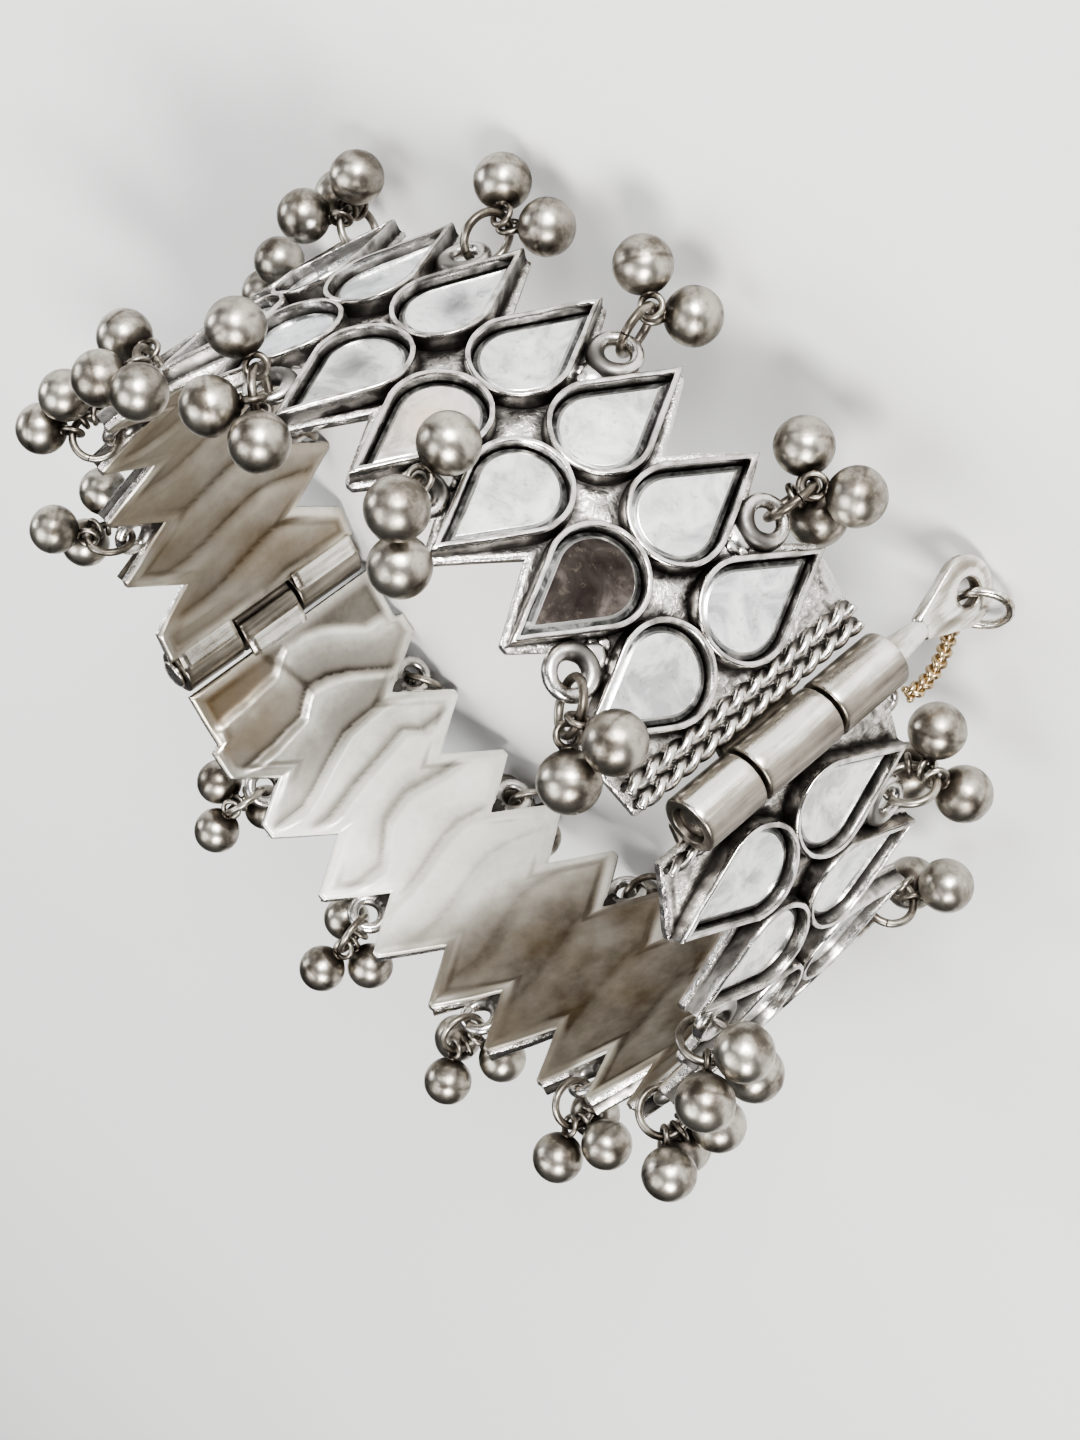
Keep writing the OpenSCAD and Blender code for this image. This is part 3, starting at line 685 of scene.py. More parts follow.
    # closing the two faces into one shell round the rims, with one row in the middle of each edge
    Rm = (Ro[:, -1] + Ri[:, -1]) / 2
    top = np.stack([Rm * np.cos(np.radians(A)), Rm * np.sin(np.radians(A)), (Zo[:, -1] + Zi[:, -1]) / 2], -1)
    Rm2 = (Ro[:, 0] + Ri[:, 0]) / 2
    bot = np.stack([Rm2 * np.cos(np.radians(A)), Rm2 * np.sin(np.radians(A)), (Zo[:, 0] + Zi[:, 0]) / 2], -1)
    outer = np.stack([Ro * np.cos(np.radians(Ao)), Ro * np.sin(np.radians(Ao)), Zo], -1)
    inner = np.stack([Ri * np.cos(np.radians(Ai)), Ri * np.sin(np.radians(Ai)), Zi], -1)[:, ::-1]
    G = np.concatenate([outer, top[:, None], inner, bot[:, None]], 1)
    edge_pat = 0.06 + 0.22 * noise(top, 1.2, 61)
    PT = np.concatenate([pat, np.clip(edge_pat, 0, 1)[:, None], pi[:, ::-1], np.clip(edge_pat, 0, 1)[:, None]], 1)
    TA = np.concatenate([0 * pat, np.zeros((len(A), 1)), tone_and_highlight[1][:, ::-1], np.zeros((len(A), 1))], 1)
    field = smooth(sd, 0.05, 0.5) * (1 - lip)
    zero = np.zeros((len(A), 1))
    FI = np.concatenate([field, zero, 0 * pi, zero], 1)
    MT = np.concatenate([0 * pat, zero, tone_and_highlight[2][:, ::-1], zero], 1)
    m, w = G.shape[0], G.shape[1]
    quads = grid_quads(m, w, False, True)
    col = np.tile(np.arange(w), m - 1)
    mat = np.where((col > n) & (col < 2 * n), 1, 0)
    caps = []
    for row, flip in ((0, False), (m - 1, True)):
        b = row * w
        j = np.arange(n - 1)
        o1, o2 = b + j, b + j + 1
        i1, i2 = b + 2 * n - j, b + 2 * n - 1 - j
        caps.append(np.stack([o1, o2, i2, i1], 1))
    tris = []
    for row in (0, m - 1):
        b = row * w
        tris += [[b + n - 1, b + n, b + n + 1], [b, b + 2 * n, b + 2 * n + 1]]
    quads = np.vstack([quads] + caps)
    mat = np.concatenate([mat, np.zeros(2 * (n - 1))])
    s = Shape()
    s.add(G, quads, tris, mat=mat, patina=PT.reshape(-1), tarnish=TA.reshape(-1), field=FI.reshape(-1), matt=MT.reshape(-1))
    return s.build(name, [M_PLATE, M_INNER], nodes, "oxidised_silver")


def tone_and_highlight_inside(a, z, Q):
    """(patina, tarnish, matt share) of the inner face: cream by the hinge, a painted highlight next to it (lighter
    colour, less tarnish, less metallic), mottled and darker towards the clasp.
    """
    far = smooth(a + 0.5 * z, 231, 249) * smooth(a, 380, 340)
    cloud = 0.5 + 0.5 * fractal(Q, 3.6, 71, 3)
    speck = 0.5 + 0.5 * fractal(Q, 1.1, 77, 3)
    front = smooth(a, 178.5, 174)
    # painted highlight: a lighter, less tarnished and less metallic zone of the inner face
    highlight_zone = smooth(a, 196, 206) * smooth(a + 0.5 * z, 243, 231)
    cream = smooth(a, 206, 196) * smooth(a, 178, 180)
    pat = far * (0.31 + 0.40 * cloud + 0.20 * speck) + front * (0.14 + 0.30 * cloud) + cream * (0.02 + 0.16 * cloud)
    pat += 0.08 * (speck - 0.5) - 0.2 * highlight_zone
    corner = smooth(a, 195, 190) * smooth(a, 170, 179) * smooth(z, 0.5, 5.0)
    tar = 0.8 * corner * (0.45 + 0.55 * cloud) + 0.42 * far * cloud + 0.5 * front * cloud + 0.12 * smooth(cloud, 0.5, 0.9) * (1 - highlight_zone)
    return pat, np.clip(tar, 0, 1), highlight_zone * (0.7 + 0.3 * cloud)


def strength_back(a, z):
    return 0.28 + 0.8 * smooth(a, 234, 208)


def strength_front(a, z):
    return 0.3 + 0.45 * smooth(a, 120, 165)


def limit_flat(centre, x0, x1, zmax, slope=None):
    def f(a, R):
        dx = R * np.sin(np.radians(a - centre))
        near = np.cos(np.radians(a - centre)) > 0
        past = 99.0 if slope is None else zmax + (dx - x1) * slope
        return np.where(near & (dx > x0), np.where(dx < x1, zmax, past), 99.0)
    return f


def limit_slant(centre, sign, x0, z0, x1, z1):
    def f(a, R):
        dx = sign * R * np.sin(np.radians(a - centre))
        near = np.cos(np.radians(a - centre)) > 0
        zz = z0 + (dx - x0) * (z1 - z0) / (x1 - x0)
        return np.where(near & (dx < x1 + 0.5), zz, 99.0)
    return f


flat_front = limit_flat(HINGE_A - 3, -5.6, 6, 10.0)
flat_back = limit_flat(HINGE_A + END_A + 2, -6, 3.8, 10.0, 10 / 3)
plate("plate_front", END_A, HINGE_A - END_A, FRONT_NOTCHES, FRONT_COLS,
      ([flat_front, limit_slant(END_A, 1, 0.3, 9.6, 6.1, 10.9)], [flat_front]), HALF_W,
      RIPPLES_FRONT, strength_front, ["half_front"])
plate("plate_back", HINGE_A + END_A, 360 - END_A, BACK_NOTCHES, BACK_COLS,
      ([flat_back, limit_slant(360 - END_A, -1, 0.3, 9.6, 4.8, 10.9)], [flat_back]), HALF_W,
      RIPPLES_BACK, strength_back, ["half_back"])


# ---------------------------------------------------------------- drop cups and their mirrors
def drop_path(r):
    """Points round a drop, from its tip round its round end and back."""
    t0 = math.radians(0) + TIP_A
    arc = np.linspace(t0, -math.pi - t0, 42)
    ax, ay = np.cos(arc), np.sin(arc)
    n = 13
    s = np.linspace(0, 1, n)[:-1]
    tip = np.array([0, 1 / math.sin(TIP_A)])
    right, left = np.array([ax[0], ay[0]]), np.array([ax[-1], ay[-1]])
    down = tip + s[:, None] * (right - tip)
    up = left + s[1:, None] * (tip - left)
    P = np.vstack([down, np.stack([ax, ay], 1), up])
    return P[:, 0] * r, P[:, 1] * r + DROP_Z


BEZEL = [  # inward from the outer wall, height over the plate, patina
    (0.02, -0.36, 1.0), (-0.05, -0.02, 1.0), (-0.04, 0.10, 0.95), (0.00, 0.30, 0.8), (0.00, 0.60, 0.5), (0.00, 0.90, 0.25),
    (0.015, 1.08, 0.06), (0.07, 1.165, 0.0), (0.16, 1.19, 0.0), (0.27, 1.19, 0.0), (0.355, 1.165, 0.0), (0.395, 1.06, 0.06),
    (0.40, 0.86, 0.26), (0.40, 0.60, 0.42), (0.41, 0.20, 0.8), (0.39, -0.36, 1.0),
]


def bezels(name, cols, nodes):
    s = Shape()
    for k, a in enumerate(cols):
        for sgn in (1, -1):
            prof = np.array(BEZEL)
            loops = []
            seed = 7 * k + (3 if sgn > 0 else 0) + int(a)
            for d, h, p in BEZEL:
                x, y = drop_path(CUP_R - d)
                loops.append(np.stack([at(a, R_OUT + h, x, sgn * y)], 0)[0])
            G = np.stack(loops, 1)                       # outline x profile x 3
            base = G[:, 7]
            rr = radial(a)
            w1 = fractal(base, 2.1, 100 + seed, 2)
            w2 = noise(base, 0.8, 140 + seed)
            lift = (0.055 * w1 + 0.035 * w2)[:, None] * smooth(prof[:, 1], 0.3, 1.1)[None]
            G = G + np.minimum(lift, 1.205 - prof[None, :, 1])[..., None] * rr
            tang = np.array([-math.sin(math.radians(a)), math.cos(math.radians(a)), 0])
            side = 0.06 * fractal(base + 50, 1.5, 180 + seed, 3)[:, None] * smooth(prof[:, 1], 0.15, 1.0)[None]
            G = G + side[..., None] * tang
            fine = noise(G, 0.45, 200)
            pat = prof[None, :, 2] + 0.36 * fine + 0.22 * w1[:, None] + 0.30 * smooth(noise(G, 0.8, 230), 0.25, 0.75) + 0.02
            # the join of the strip, at the tip
            s.add(G, grid_quads(G.shape[0], G.shape[1], True, True), patina=np.clip(pat, 0, 1).reshape(-1))
    return s.build(name, [M_BEZEL], nodes, "oxidised_silver", sharp=50)


bezels("cups_front", FRONT_COLS, ["half_front"])
bezels("cups_back", BACK_COLS, ["half_back"])


# darker clouds behind some of the mirrors: across, along, radius, strength
BLOTS = {
    ("front", 4, 1): (0.3, DROP_Z + 0.3, 1.3, 0.5),
    ("front", 4, -1): (-0.4, DROP_Z + 0.9, 1.2, 0.75),
    ("front", 3, 1): (0.2, DROP_Z + 0.6, 1.5, 0.0),
    ("front", 6, -1): (0.3, DROP_Z + 0.6, 1.0, 0.5),
    ("front", 8, 1): (-0.3, DROP_Z + 1.2, 1.1, 0.45),
    ("back", 2, -1): (0.2, DROP_Z + 0.8, 1.1, 0.35),
    ("back", 5, 1): (-0.5, DROP_Z + 0.5, 1.2, 0.45),
    ("back", 9, -1): (0.4, DROP_Z + 1.0, 1.2, 0.5),
}


def mirrors(name, a, k, side, node_name):
    s = Shape()
    for sgn in (1, -1):
        r = CUP_R - CUP_T - 0.11
        h0, h1 = 0.16, 0.585
        seed = 13 * k + (5 if sgn > 0 else 0) + (97 if side == "back" else 0)
        rng = np.random.default_rng(seed)
        tx, tz = rng.uniform(-0.014, 0.014, 2)
        tone, hue = rng.uniform(0.0, 0.14), rng.uniform(-0.10, 0.08)
        if side == "front" and k == 1 and sgn > 0:
            tone, hue = 1.0, 0.0
        elif side == "front" and k == 3 and sgn > 0:
            hue = 0.85
        elif side == "front" and k > 4:
            hue = rng.uniform(-0.5, -0.2)
        x, y = drop_path(r)
        n = len(x)
        cx, cy = 0.0, DROP_Z + 0.35
        bx, by, br, bt = BLOTS.get((side, k, sgn), (0.0, 0.0, 1.0, 0.0))
        rings = []
        # rings of the glass: inset, height, share of the dark cup-wall colour, share of the painted highlight line
        for inset, h, e, bevel_highlight in ((0.0, h0, 1.0, 0.0), (0.0, h1 - 0.26, 1.0, 0.0), (0.04, h1 - 0.21, 1.0, 0.0), (0.27, h1 - 0.13, 1.0, 0.0),
                                (0.37, h1 - 0.07, 0.5, 1.0), (0.46, h1 - 0.015, 0.3, 0.7), (0.52, h1, 0.0, 0.0)):
            xi, yi = drop_path(r - inset)
            hh = h + (tx * xi + tz * (yi - cy)) * smooth(np.array(h), 0.2, 0.4)
            rings.append((at(a, R_OUT + np.minimum(hh, 0.6), xi, sgn * yi), np.full(n, e), np.full(n, bevel_highlight)))
        for f in (0.75, 0.5, 0.25):
            xi, yi = drop_path(r - 0.52)
            xi, yi = cx + (xi - cx) * f, cy + (yi - cy) * f
            hh = h1 + tx * xi + tz * (yi - cy) + 0.012 * (1 - f * f)
            rings.append((at(a, R_OUT + np.minimum(hh, 0.6), xi, sgn * yi), np.zeros(n), np.zeros(n)))
        P, E, BEVEL_HIGHLIGHT = (np.concatenate([ring[q] for ring in rings]) for q in range(3))
        m = len(rings)
        top = at(a, R_OUT + h1 + 0.014, cx, sgn * cy).reshape(1, 3)
        low = at(a, R_OUT + h0, cx, sgn * cy).reshape(1, 3)
        P = np.vstack([P, top, low])
        away = np.hypot((P - at(a, 0, 0, 0)) @ np.array([-math.sin(math.radians(a)), math.cos(math.radians(a)), 0]) - bx, sgn * P[:, 2] - by)
        blot = np.exp(-(away / br) ** 2)
        tone = np.clip(tone + bt * blot, 0, 1)
        if hue > 0.3:
            hue = hue * (0.25 + 0.75 * np.exp(-(np.hypot(away, 0) / 1.6) ** 2))
        E, BEVEL_HIGHLIGHT = np.concatenate([E, [0, 1]]), np.concatenate([BEVEL_HIGHLIGHT, [0, 0]])
        j = np.arange(n)
        tris = np.vstack([
            np.stack([np.full(n, m * n), (m - 1) * n + j, (m - 1) * n + (j + 1) % n], 1),
            np.stack([np.full(n, m * n + 1), (j + 1) % n, j], 1),
        ])
        s.add(P, grid_quads(m, n, False, True), tris, tone=tone, hue=hue, edge=E, line=BEVEL_HIGHLIGHT)
    return s.build(name, [M_MIRROR], [node_name], "mirror_glass", sharp=12)


for side, cols in (("front", FRONT_COLS), ("back", BACK_COLS)):
    for k, a in enumerate(cols):
        mirrors(f"glass_{side}_{k + 1:02d}", a, k, side, f"mirrors_{side}_{k + 1:02d}")


# ---------------------------------------------------------------- rim loops, solder and twisted wires
def circle(centre, normal, r, n, start=0.0, sweep=2 * math.pi, closed=True):
    normal = np.asarray(normal, float) / np.linalg.norm(normal)
    h = np.array([0, 0, 1.0]) if abs(normal[2]) < 0.9 else np.array([1.0, 0, 0])
    u = np.cross(normal, h)
    u /= np.linalg.norm(u)
    v = np.cross(normal, u)
    t = start + sweep * (np.arange(n) / n if closed else np.linspace(0, 1, n))
    return np.asarray(centre) + r * (np.cos(t)[:, None] * u + np.sin(t)[:, None] * v)


def loops(name, gaps, nodes):
    s = Shape()
    for a, sg in gaps:
        c = at(a, LOOP_OUT, 0, sg * LOOP_Z)
        path = circle(c, radial(a), LOOP_R, 56)
        wob = noise(path, 1.1, int(a) + 5)
        towards = (path[:, 2] * sg - LOOP_Z) / LOOP_R       # 1 at the far end of the loop, -1 at the plate
        r = LOOP_WIRE * (0.98 + 0.04 * wob) + 0.13 * smooth(-towards, -0.3, 0.9)
        pat = np.clip(0.10 + 0.55 * smooth(-towards, 0.2, 0.9) + 0.15 * wob, 0, 1)
        s.tube(path, r, sides=18, up=radial(a), patina=pat)
        # solder, run out over the plate in grains
        for q, (dx, dz, rr, hh) in enumerate(((0, 6.45, 1.0, 0.42), (0.55, 6.0, 0.5, 0.3), (-0.6, 6.1, 0.45, 0.3), (0.1, 5.5, 0.5, 0.26), (-0.25, 7.0, 0.5, 0.4), (0.35, 7.05, 0.42, 0.36))):
            rng = np.random.default_rng(int(a * 7) + q + (40 if sg > 0 else 0))
            j = rng.uniform(-0.12, 0.12, 2)
            cc = at(a, R_OUT + 0.02, dx + j[0], sg * (dz + j[1]))
            B = np.stack([np.cross([0, 0, 1.0], radial(a)), [0, 0, 1.0], radial(a)], 1)
            s.ball(cc, rr, B, rings=10, sides=16, squash=hh / rr, bumps=0.16, seed=int(a) + q,
                   patina=lambda D: np.clip(0.75 - 0.95 * D[:, 2], 0.02, 1))
    return s.build(name, [M_SILVER], nodes, "oxidised_silver", sharp=60)


loops("rim_loops_front", [(front_gap(j), sg) for j in (1, 3, 5, 7, 9, 11) for sg in (1, -1)], ["half_front"])
loops("rim_loops_back", [(back_gap(j), 1) for j in (2, 4, 6, 8, 10, 12)] + [(back_gap(j), -1) for j in (1, 3, 6, 8, 10, 12)],
      ["half_back"])


def rope(s, a, d, z0, z1, dark):
    """Two strands twisted together, standing along the end of the plate."""
    strand, off, pitch = d * 0.262, d * 0.232, 3.05
    z = np.arange(z0 + 0.12, z1 - 0.1, 0.085)
    ca = at(a, R_OUT + 0.4, 0, 0)
    er, et = radial(a), np.cross([0, 0, 1.0], radial(a))
    for ph in (0, math.pi):
        t = -2 * math.pi * z / pitch + ph
        wob = 0.03 * noise(np.stack([z, 0 * z, 0 * z], 1), 1.3, int(a) + 3)
        P = ca + (off * np.cos(t) + wob)[:, None] * er + (off * np.sin(t))[:, None] * et + z[:, None] * np.array([0, 0, 1.0])
        out = np.cos(t)
        pat = np.clip(0.44 - 0.56 * out + 0.14 * noise(P, 0.6, 12) + dark, 0, 1)
        s.tube(P, strand, sides=10, closed=False, up=er, patina=pat)


s = Shape()
rope(s, 6.95, 1.2, -HALF_W + 0.12, 9.6, 0.0)
rope(s, 4.65, 1.2, -HALF_W + 0.12, 9.4, 0.04)
s.build("twisted_wires_front", [M_ROPE], ["half_front"], "oxidised_silver", sharp=60)
s = Shape()
rope(s, 355.4, 1.0, -HALF_W + 0.12, 9.5, 0.22)
s.build("twisted_wire_back", [M_ROPE], ["half_back"], "oxidised_silver", sharp=60)


# ---------------------------------------------------------------- knuckles, tongues and pins
def knuckle(s, a, r, z0, z1, bore, seed):
    R = 2.0
    ch = 0.16
    prof, pat = [], []

    def put(rr, z, p):
        prof.append((rr, z)), pat.append(p)

    put(bore, z0 + 0.1, 0.95), put(bore + 0.06, z0 + 0.01, 0.6), put(R - ch - 0.05, z0, 0.35), put(R - 0.05, z0 + 0.06, 0.12), put(R, z0 + ch, 0.05)
    for t in np.linspace(0, 1, 14)[1:-1]:
        put(R, z0 + ch + t * (z1 - z0 - 2 * ch), 0.04)
    put(R, z1 - ch, 0.05), put(R - 0.05, z1 - 0.06, 0.12), put(R - ch - 0.05, z1, 0.35), put(bore + 0.06, z1 - 0.01, 0.6), put(bore, z1 - 0.1, 0.95)
    for t in (0.66, 0.33):
        put(bore, z0 + t * (z1 - z0), 1.0)
    B = rot("z", a)
    c = at(a, r, 0, 0)
    prof = np.array(prof)
    sides = 72
    ph = 2 * np.pi * np.arange(sides) / sides
    rad = np.repeat(prof[None, :, 0], sides, 0)
    body = smooth(rad, R - 0.3, R - 0.02)
    dent = 0.028 * fractal(np.stack([R * np.cos(ph)[:, None] + 0 * rad, R * np.sin(ph)[:, None] + 0 * rad, np.repeat(prof[None, :, 1], sides, 0)], -1), 2.4, seed, 2)
    # the seam of the rolled strip, on the side of the plate
    seam = np.exp(-((np.abs(ph - math.radians(215)) / 0.07) ** 2))[:, None]
    rad = rad + body * (dent - 0.03) - body * 0.14 * seam
    L = np.stack([rad * np.cos(ph)[:, None], rad * np.sin(ph)[:, None], np.repeat(prof[None, :, 1], sides, 0)], -1)
    P = c + L @ B.T
    deg = (np.degrees(ph) + 180) % 360 - 180
    # painted highlight and painted shade: by angle round each knuckle the patina value leaves a light band at 38 to 58
    # degrees and darkens the other sides
    turn = np.interp(deg, [-180, -120, -60, -25, 0, 20, 38, 58, 78, 100, 122, 180], [0.45, 0.70, 0.70, 0.60, 0.42, 0.16, 0.0, 0.0, 0.24, 0.58, 0.62, 0.45])
    pt = np.array(pat)[None, :] + body * 0.8 * seam + 0.1 * fractal(P, 1.2, seed + 9, 2) + body * turn[:, None]
    s.add(P, grid_quads(sides, len(prof), True, True), patina=np.clip(pt, 0, 1).reshape(-1))


def tongue(s, a0, a1, z0, z1, seed):
    """A rounded strip that runs from the plate to the knuckle."""
    A = np.linspace(a0, a1, 12)
    zs = np.linspace(z0, z1, 26)
    e = np.minimum(zs - z0, z1 - zs)
    rnd = 0.22 * (1 - smooth(e, 0, 0.45))
    ends = 0.2 * (1 - smooth(np.minimum(A - a0, a1 - A) * R_IN * math.pi / 180, 0, 0.35))
    lo = R_IN + 0.06 + rnd[None] + ends[:, None] * 0.6
    hi = R_OUT - 0.06 - rnd[None] - ends[:, None] * 0.6
    AA = np.repeat(A[:, None], len(zs), 1)
    ZZ = np.repeat(zs[None], len(A), 0)
    lo = lo + 0.03 * fractal(np.stack([30 * np.radians(AA), ZZ, 0 * ZZ], -1), 1.6, seed, 2)
    top = np.stack([hi * np.cos(np.radians(AA)), hi * np.sin(np.radians(AA)), ZZ], -1)
    bot = np.stack([lo * np.cos(np.radians(AA)), lo * np.sin(np.radians(AA)), ZZ], -1)[:, ::-1]
    G = np.concatenate([top, bot], 1)
    m, w, n = G.shape[0], G.shape[1], len(zs)
    quads = grid_quads(m, w, False, True)
    caps = []
    for b in (0, (m - 1) * w):
        j = np.arange(n - 1)
        caps.append(np.stack([b + j, b + j + 1, b + 2 * n - 2 - j, b + 2 * n - 1 - j], 1))
    edge = np.concatenate([smooth(0.5 - e, 0, 0.5), smooth(0.5 - e[::-1], 0, 0.5)])
    pat = np.repeat((0.05 + 0.4 * edge)[None], m, 0) + 0.12 * fractal(G, 1.4, seed + 3, 2)
    s.add(G, np.vstack([quads] + caps), patina=np.clip(pat, 0, 1).reshape(-1))


front, back = Shape(), Shape()
knuckle(front, 0, CLASP_R, CLASP_Z[2] + 0.15, CLASP_Z[1] - 0.15, 1.25, 301)
tongue(front, 0.8, END_A + 0.6, CLASP_Z[2] + 0.23, CLASP_Z[1] - 0.23, 311)
for i in (0, 2):
    z1 = CLASP_Z[i] - (0 if i == 0 else 0.15)
    z0 = CLASP_Z[i + 1] + (0.15 if i == 0 else 0)
    knuckle(back, 0, CLASP_R, z0, z1, 1.25, 303 + i)
    tongue(back, 360 - END_A - 0.6, 359.2, z0 + 0.08, z1 - 0.08, 313 + i)
    z1 = HINGE_Z[i] - (0 if i == 0 else 0.15)
    z0 = HINGE_Z[i + 1] + (0.15 if i == 0 else 0)
    knuckle(front, HINGE_A, HINGE_R, z0, z1, 1.1, 321 + i)
    tongue(front, HINGE_A - END_A - 0.6, HINGE_A - 0.8, z0 + 0.08, z1 - 0.08, 331 + i)
knuckle(back, HINGE_A, HINGE_R, HINGE_Z[2] + 0.15, HINGE_Z[1] - 0.15, 1.1, 341)
tongue(back, HINGE_A + 0.8, HINGE_A + END_A + 0.6, HINGE_Z[2] + 0.23, HINGE_Z[1] - 0.23, 343)
front.build("knuckles_front", [M_SATIN], ["half_front"], "oxidised_silver", sharp=50)
back.build("knuckles_back", [M_SATIN], ["half_back"], "oxidised_silver", sharp=50)


def rod(s, a, r, prof, sides=40, wobble=0.012, seed=401):
    """A turned solid along the band's axis: (radius, height, patina) from one end to the other."""
    prof = np.array(prof)
    c = at(a, r, 0, 0)
    ph = 2 * np.pi * np.arange(sides) / sides
    m = len(prof)
    L = np.stack([
        prof[:, 0][:, None] * np.cos(ph)[None], prof[:, 0][:, None] * np.sin(ph)[None], np.repeat(prof[:, 1][:, None], sides, 1),
    ], -1)
    L = L * (1 + wobble * fractal(L, 1.2, seed, 2)[..., None] * np.array([1, 1, 0]))
    P = (c + L).reshape(-1, 3)
    P = np.vstack([P, c + [0, 0, prof[0, 1]], c + [0, 0, prof[-1, 1]]])
    k = np.arange(sides)
    tris = np.vstack([
        np.stack([np.full(sides, m * sides), (k + 1) % sides, k], 1),
        np.stack([np.full(sides, m * sides + 1), (m - 1) * sides + k, (m - 1) * sides + (k + 1) % sides], 1),
    ])
    pat = np.concatenate([np.repeat(prof[:, 2], sides), [prof[0, 2], prof[-1, 2]]])
    pat = np.clip(pat + 0.12 * fractal(P, 0.8, seed + 4, 2), 0, 1)
    s.add(P, grid_quads(m, sides, False, True), tris, patina=pat)


s = Shape()
zt, zb = HINGE_Z[0] + 0.5, HINGE_Z[3] - 0.5
rod(s, HINGE_A, HINGE_R, [
    (0.5, zb, 0.1), (0.95, zb + 0.03, 0.1), (1.2, zb + 0.12, 0.15), (1.29, zb + 0.26, 0.3), (1.26, zb + 0.38, 0.6), (1.0, zb + 0.42, 0.9),
    (1.0, 0, 0.9), (1.0, zt - 0.42, 0.9), (1.26, zt - 0.38, 0.6), (1.29, zt - 0.26, 0.3), (1.2, zt - 0.12, 0.15), (0.95, zt - 0.03, 0.1), (0.5, zt, 0.1),
])
s.build("hinge_rivet", [M_SATIN], ["hinge_pin"], "satin_silver", sharp=50)

# the pulled pin: rod and neck
s = Shape()
top, low = CLASP_Z[0] - 0.3, CLASP_Z[3]
rod(s, 0, CLASP_R, [
    (0.5, top, 0.5), (0.95, top - 0.03, 0.5), (1.09, top - 0.16, 0.7), (1.1, 2.4, 0.95), (1.1, -4.6, 0.95), (1.1, low + 0.2, 0.9),
    (1.1, low - 0.1, 0.45), (1.08, low - 0.4, 0.2), (1.0, low - 0.9, 0.1), (0.9, low - 1.6, 0.06), (0.8, low - 2.3, 0.05),
    (0.74, low - 2.9, 0.05), (0.70, low - 3.35, 0.06), (0.5, low - 3.6, 0.1),
], sides=44, seed=421)
# its eye: thick rounded rim, a raised ring round a small hole, drawn out to the neck
phi = np.linspace(0, 2 * math.pi, 97)[:-1]
neck = 0.72
dist = 4.75
ang = math.asin((EYE_R - neck) / dist)


def eye_reach(t):
    """How far the outline is from the hole's middle, in the direction t from the neck."""
    t = np.abs((t + math.pi) % (2 * math.pi) - math.pi)
    side = EYE_R / np.maximum(np.cos(math.pi / 2 - ang - t), 1e-3)
    side = np.where(t < math.pi / 2 - ang, side, EYE_R)
    cut = dist / np.maximum(np.cos(t), 1e-3)
    inner_side = np.minimum(side, np.where(np.cos(t) > 0.2, cut, 99))
    return inner_side


reach = eye_reach(phi)
prof = [  # share of the way from the hole to the rim, half thickness, patina
    (0.0, 0.0, 0.85), (0.0, 0.30, 0.6), (0.05, 0.46, 0.25), (0.14, 0.545, 0.03), (0.30, 0.545, 0.0), (0.42, 0.50, 0.08), (0.52, 0.43, 0.25),
    (0.66, 0.41, 0.2), (0.80, 0.43, 0.06), (0.90, 0.41, 0.0), (0.97, 0.29, 0.02), (1.0, 0.0, 0.1),
]
ring = [(f, h, p) for f, h, p in prof] + [(f, -h, p) for f, h, p in prof[-2:0:-1]]
G, PT = [], []
for f, h, p in ring:
    hole = EYE_HOLE - 0.02 + 0.06 * smooth(np.array(0.30 - abs(h)), 0, 0.3)
    rho = hole + (reach - 0.02 - hole) * f
    thick = h * (1 + 0.06 * smooth(np.cos(phi), 0.6, 1.0))
    yy, zz = rho * np.sin(phi), rho * np.cos(phi)
    G.append(np.stack([CLASP_R + thick, yy, EYE_Z + zz], 1))
    PT.append(np.full(len(phi), p))
G, PT = np.stack(G, 1), np.stack(PT, 1)
wob = fractal(G, 1.5, 431, 2)
G[..., 0] = CLASP_R + (G[..., 0] - CLASP_R) * (1 + 0.06 * wob)
s.add(G, grid_quads(len(phi), len(ring), True, True), patina=np.clip(PT + 0.12 * wob, 0, 1).reshape(-1))
s.build("clasp_pin_pull", [M_SATIN], ["clasp_pin"], "satin_silver", sharp=50)

# the open ring in the eye
s = Shape()
C1 = rot("x", 25)
centre = np.array([CLASP_R, 0, EYE_Z]) + C1 @ np.array([0, -2.1, 0])
N = C1 @ rot("y", 25) @ np.array([0, 0, 1.0])
path = circle(centre, N, 1.85, 84, start=2.5, sweep=2 * math.pi - 0.09, closed=False)
s.tube(path, 0.315, sides=16, closed=False, up=N, cap=0.12, patina=np.clip(0.08 + 0.1 * noise(path, 1.0, 9), 0, 1))
s.build("pull_ring", [M_SATIN], ["clasp_ring"], "satin_silver", sharp=40)

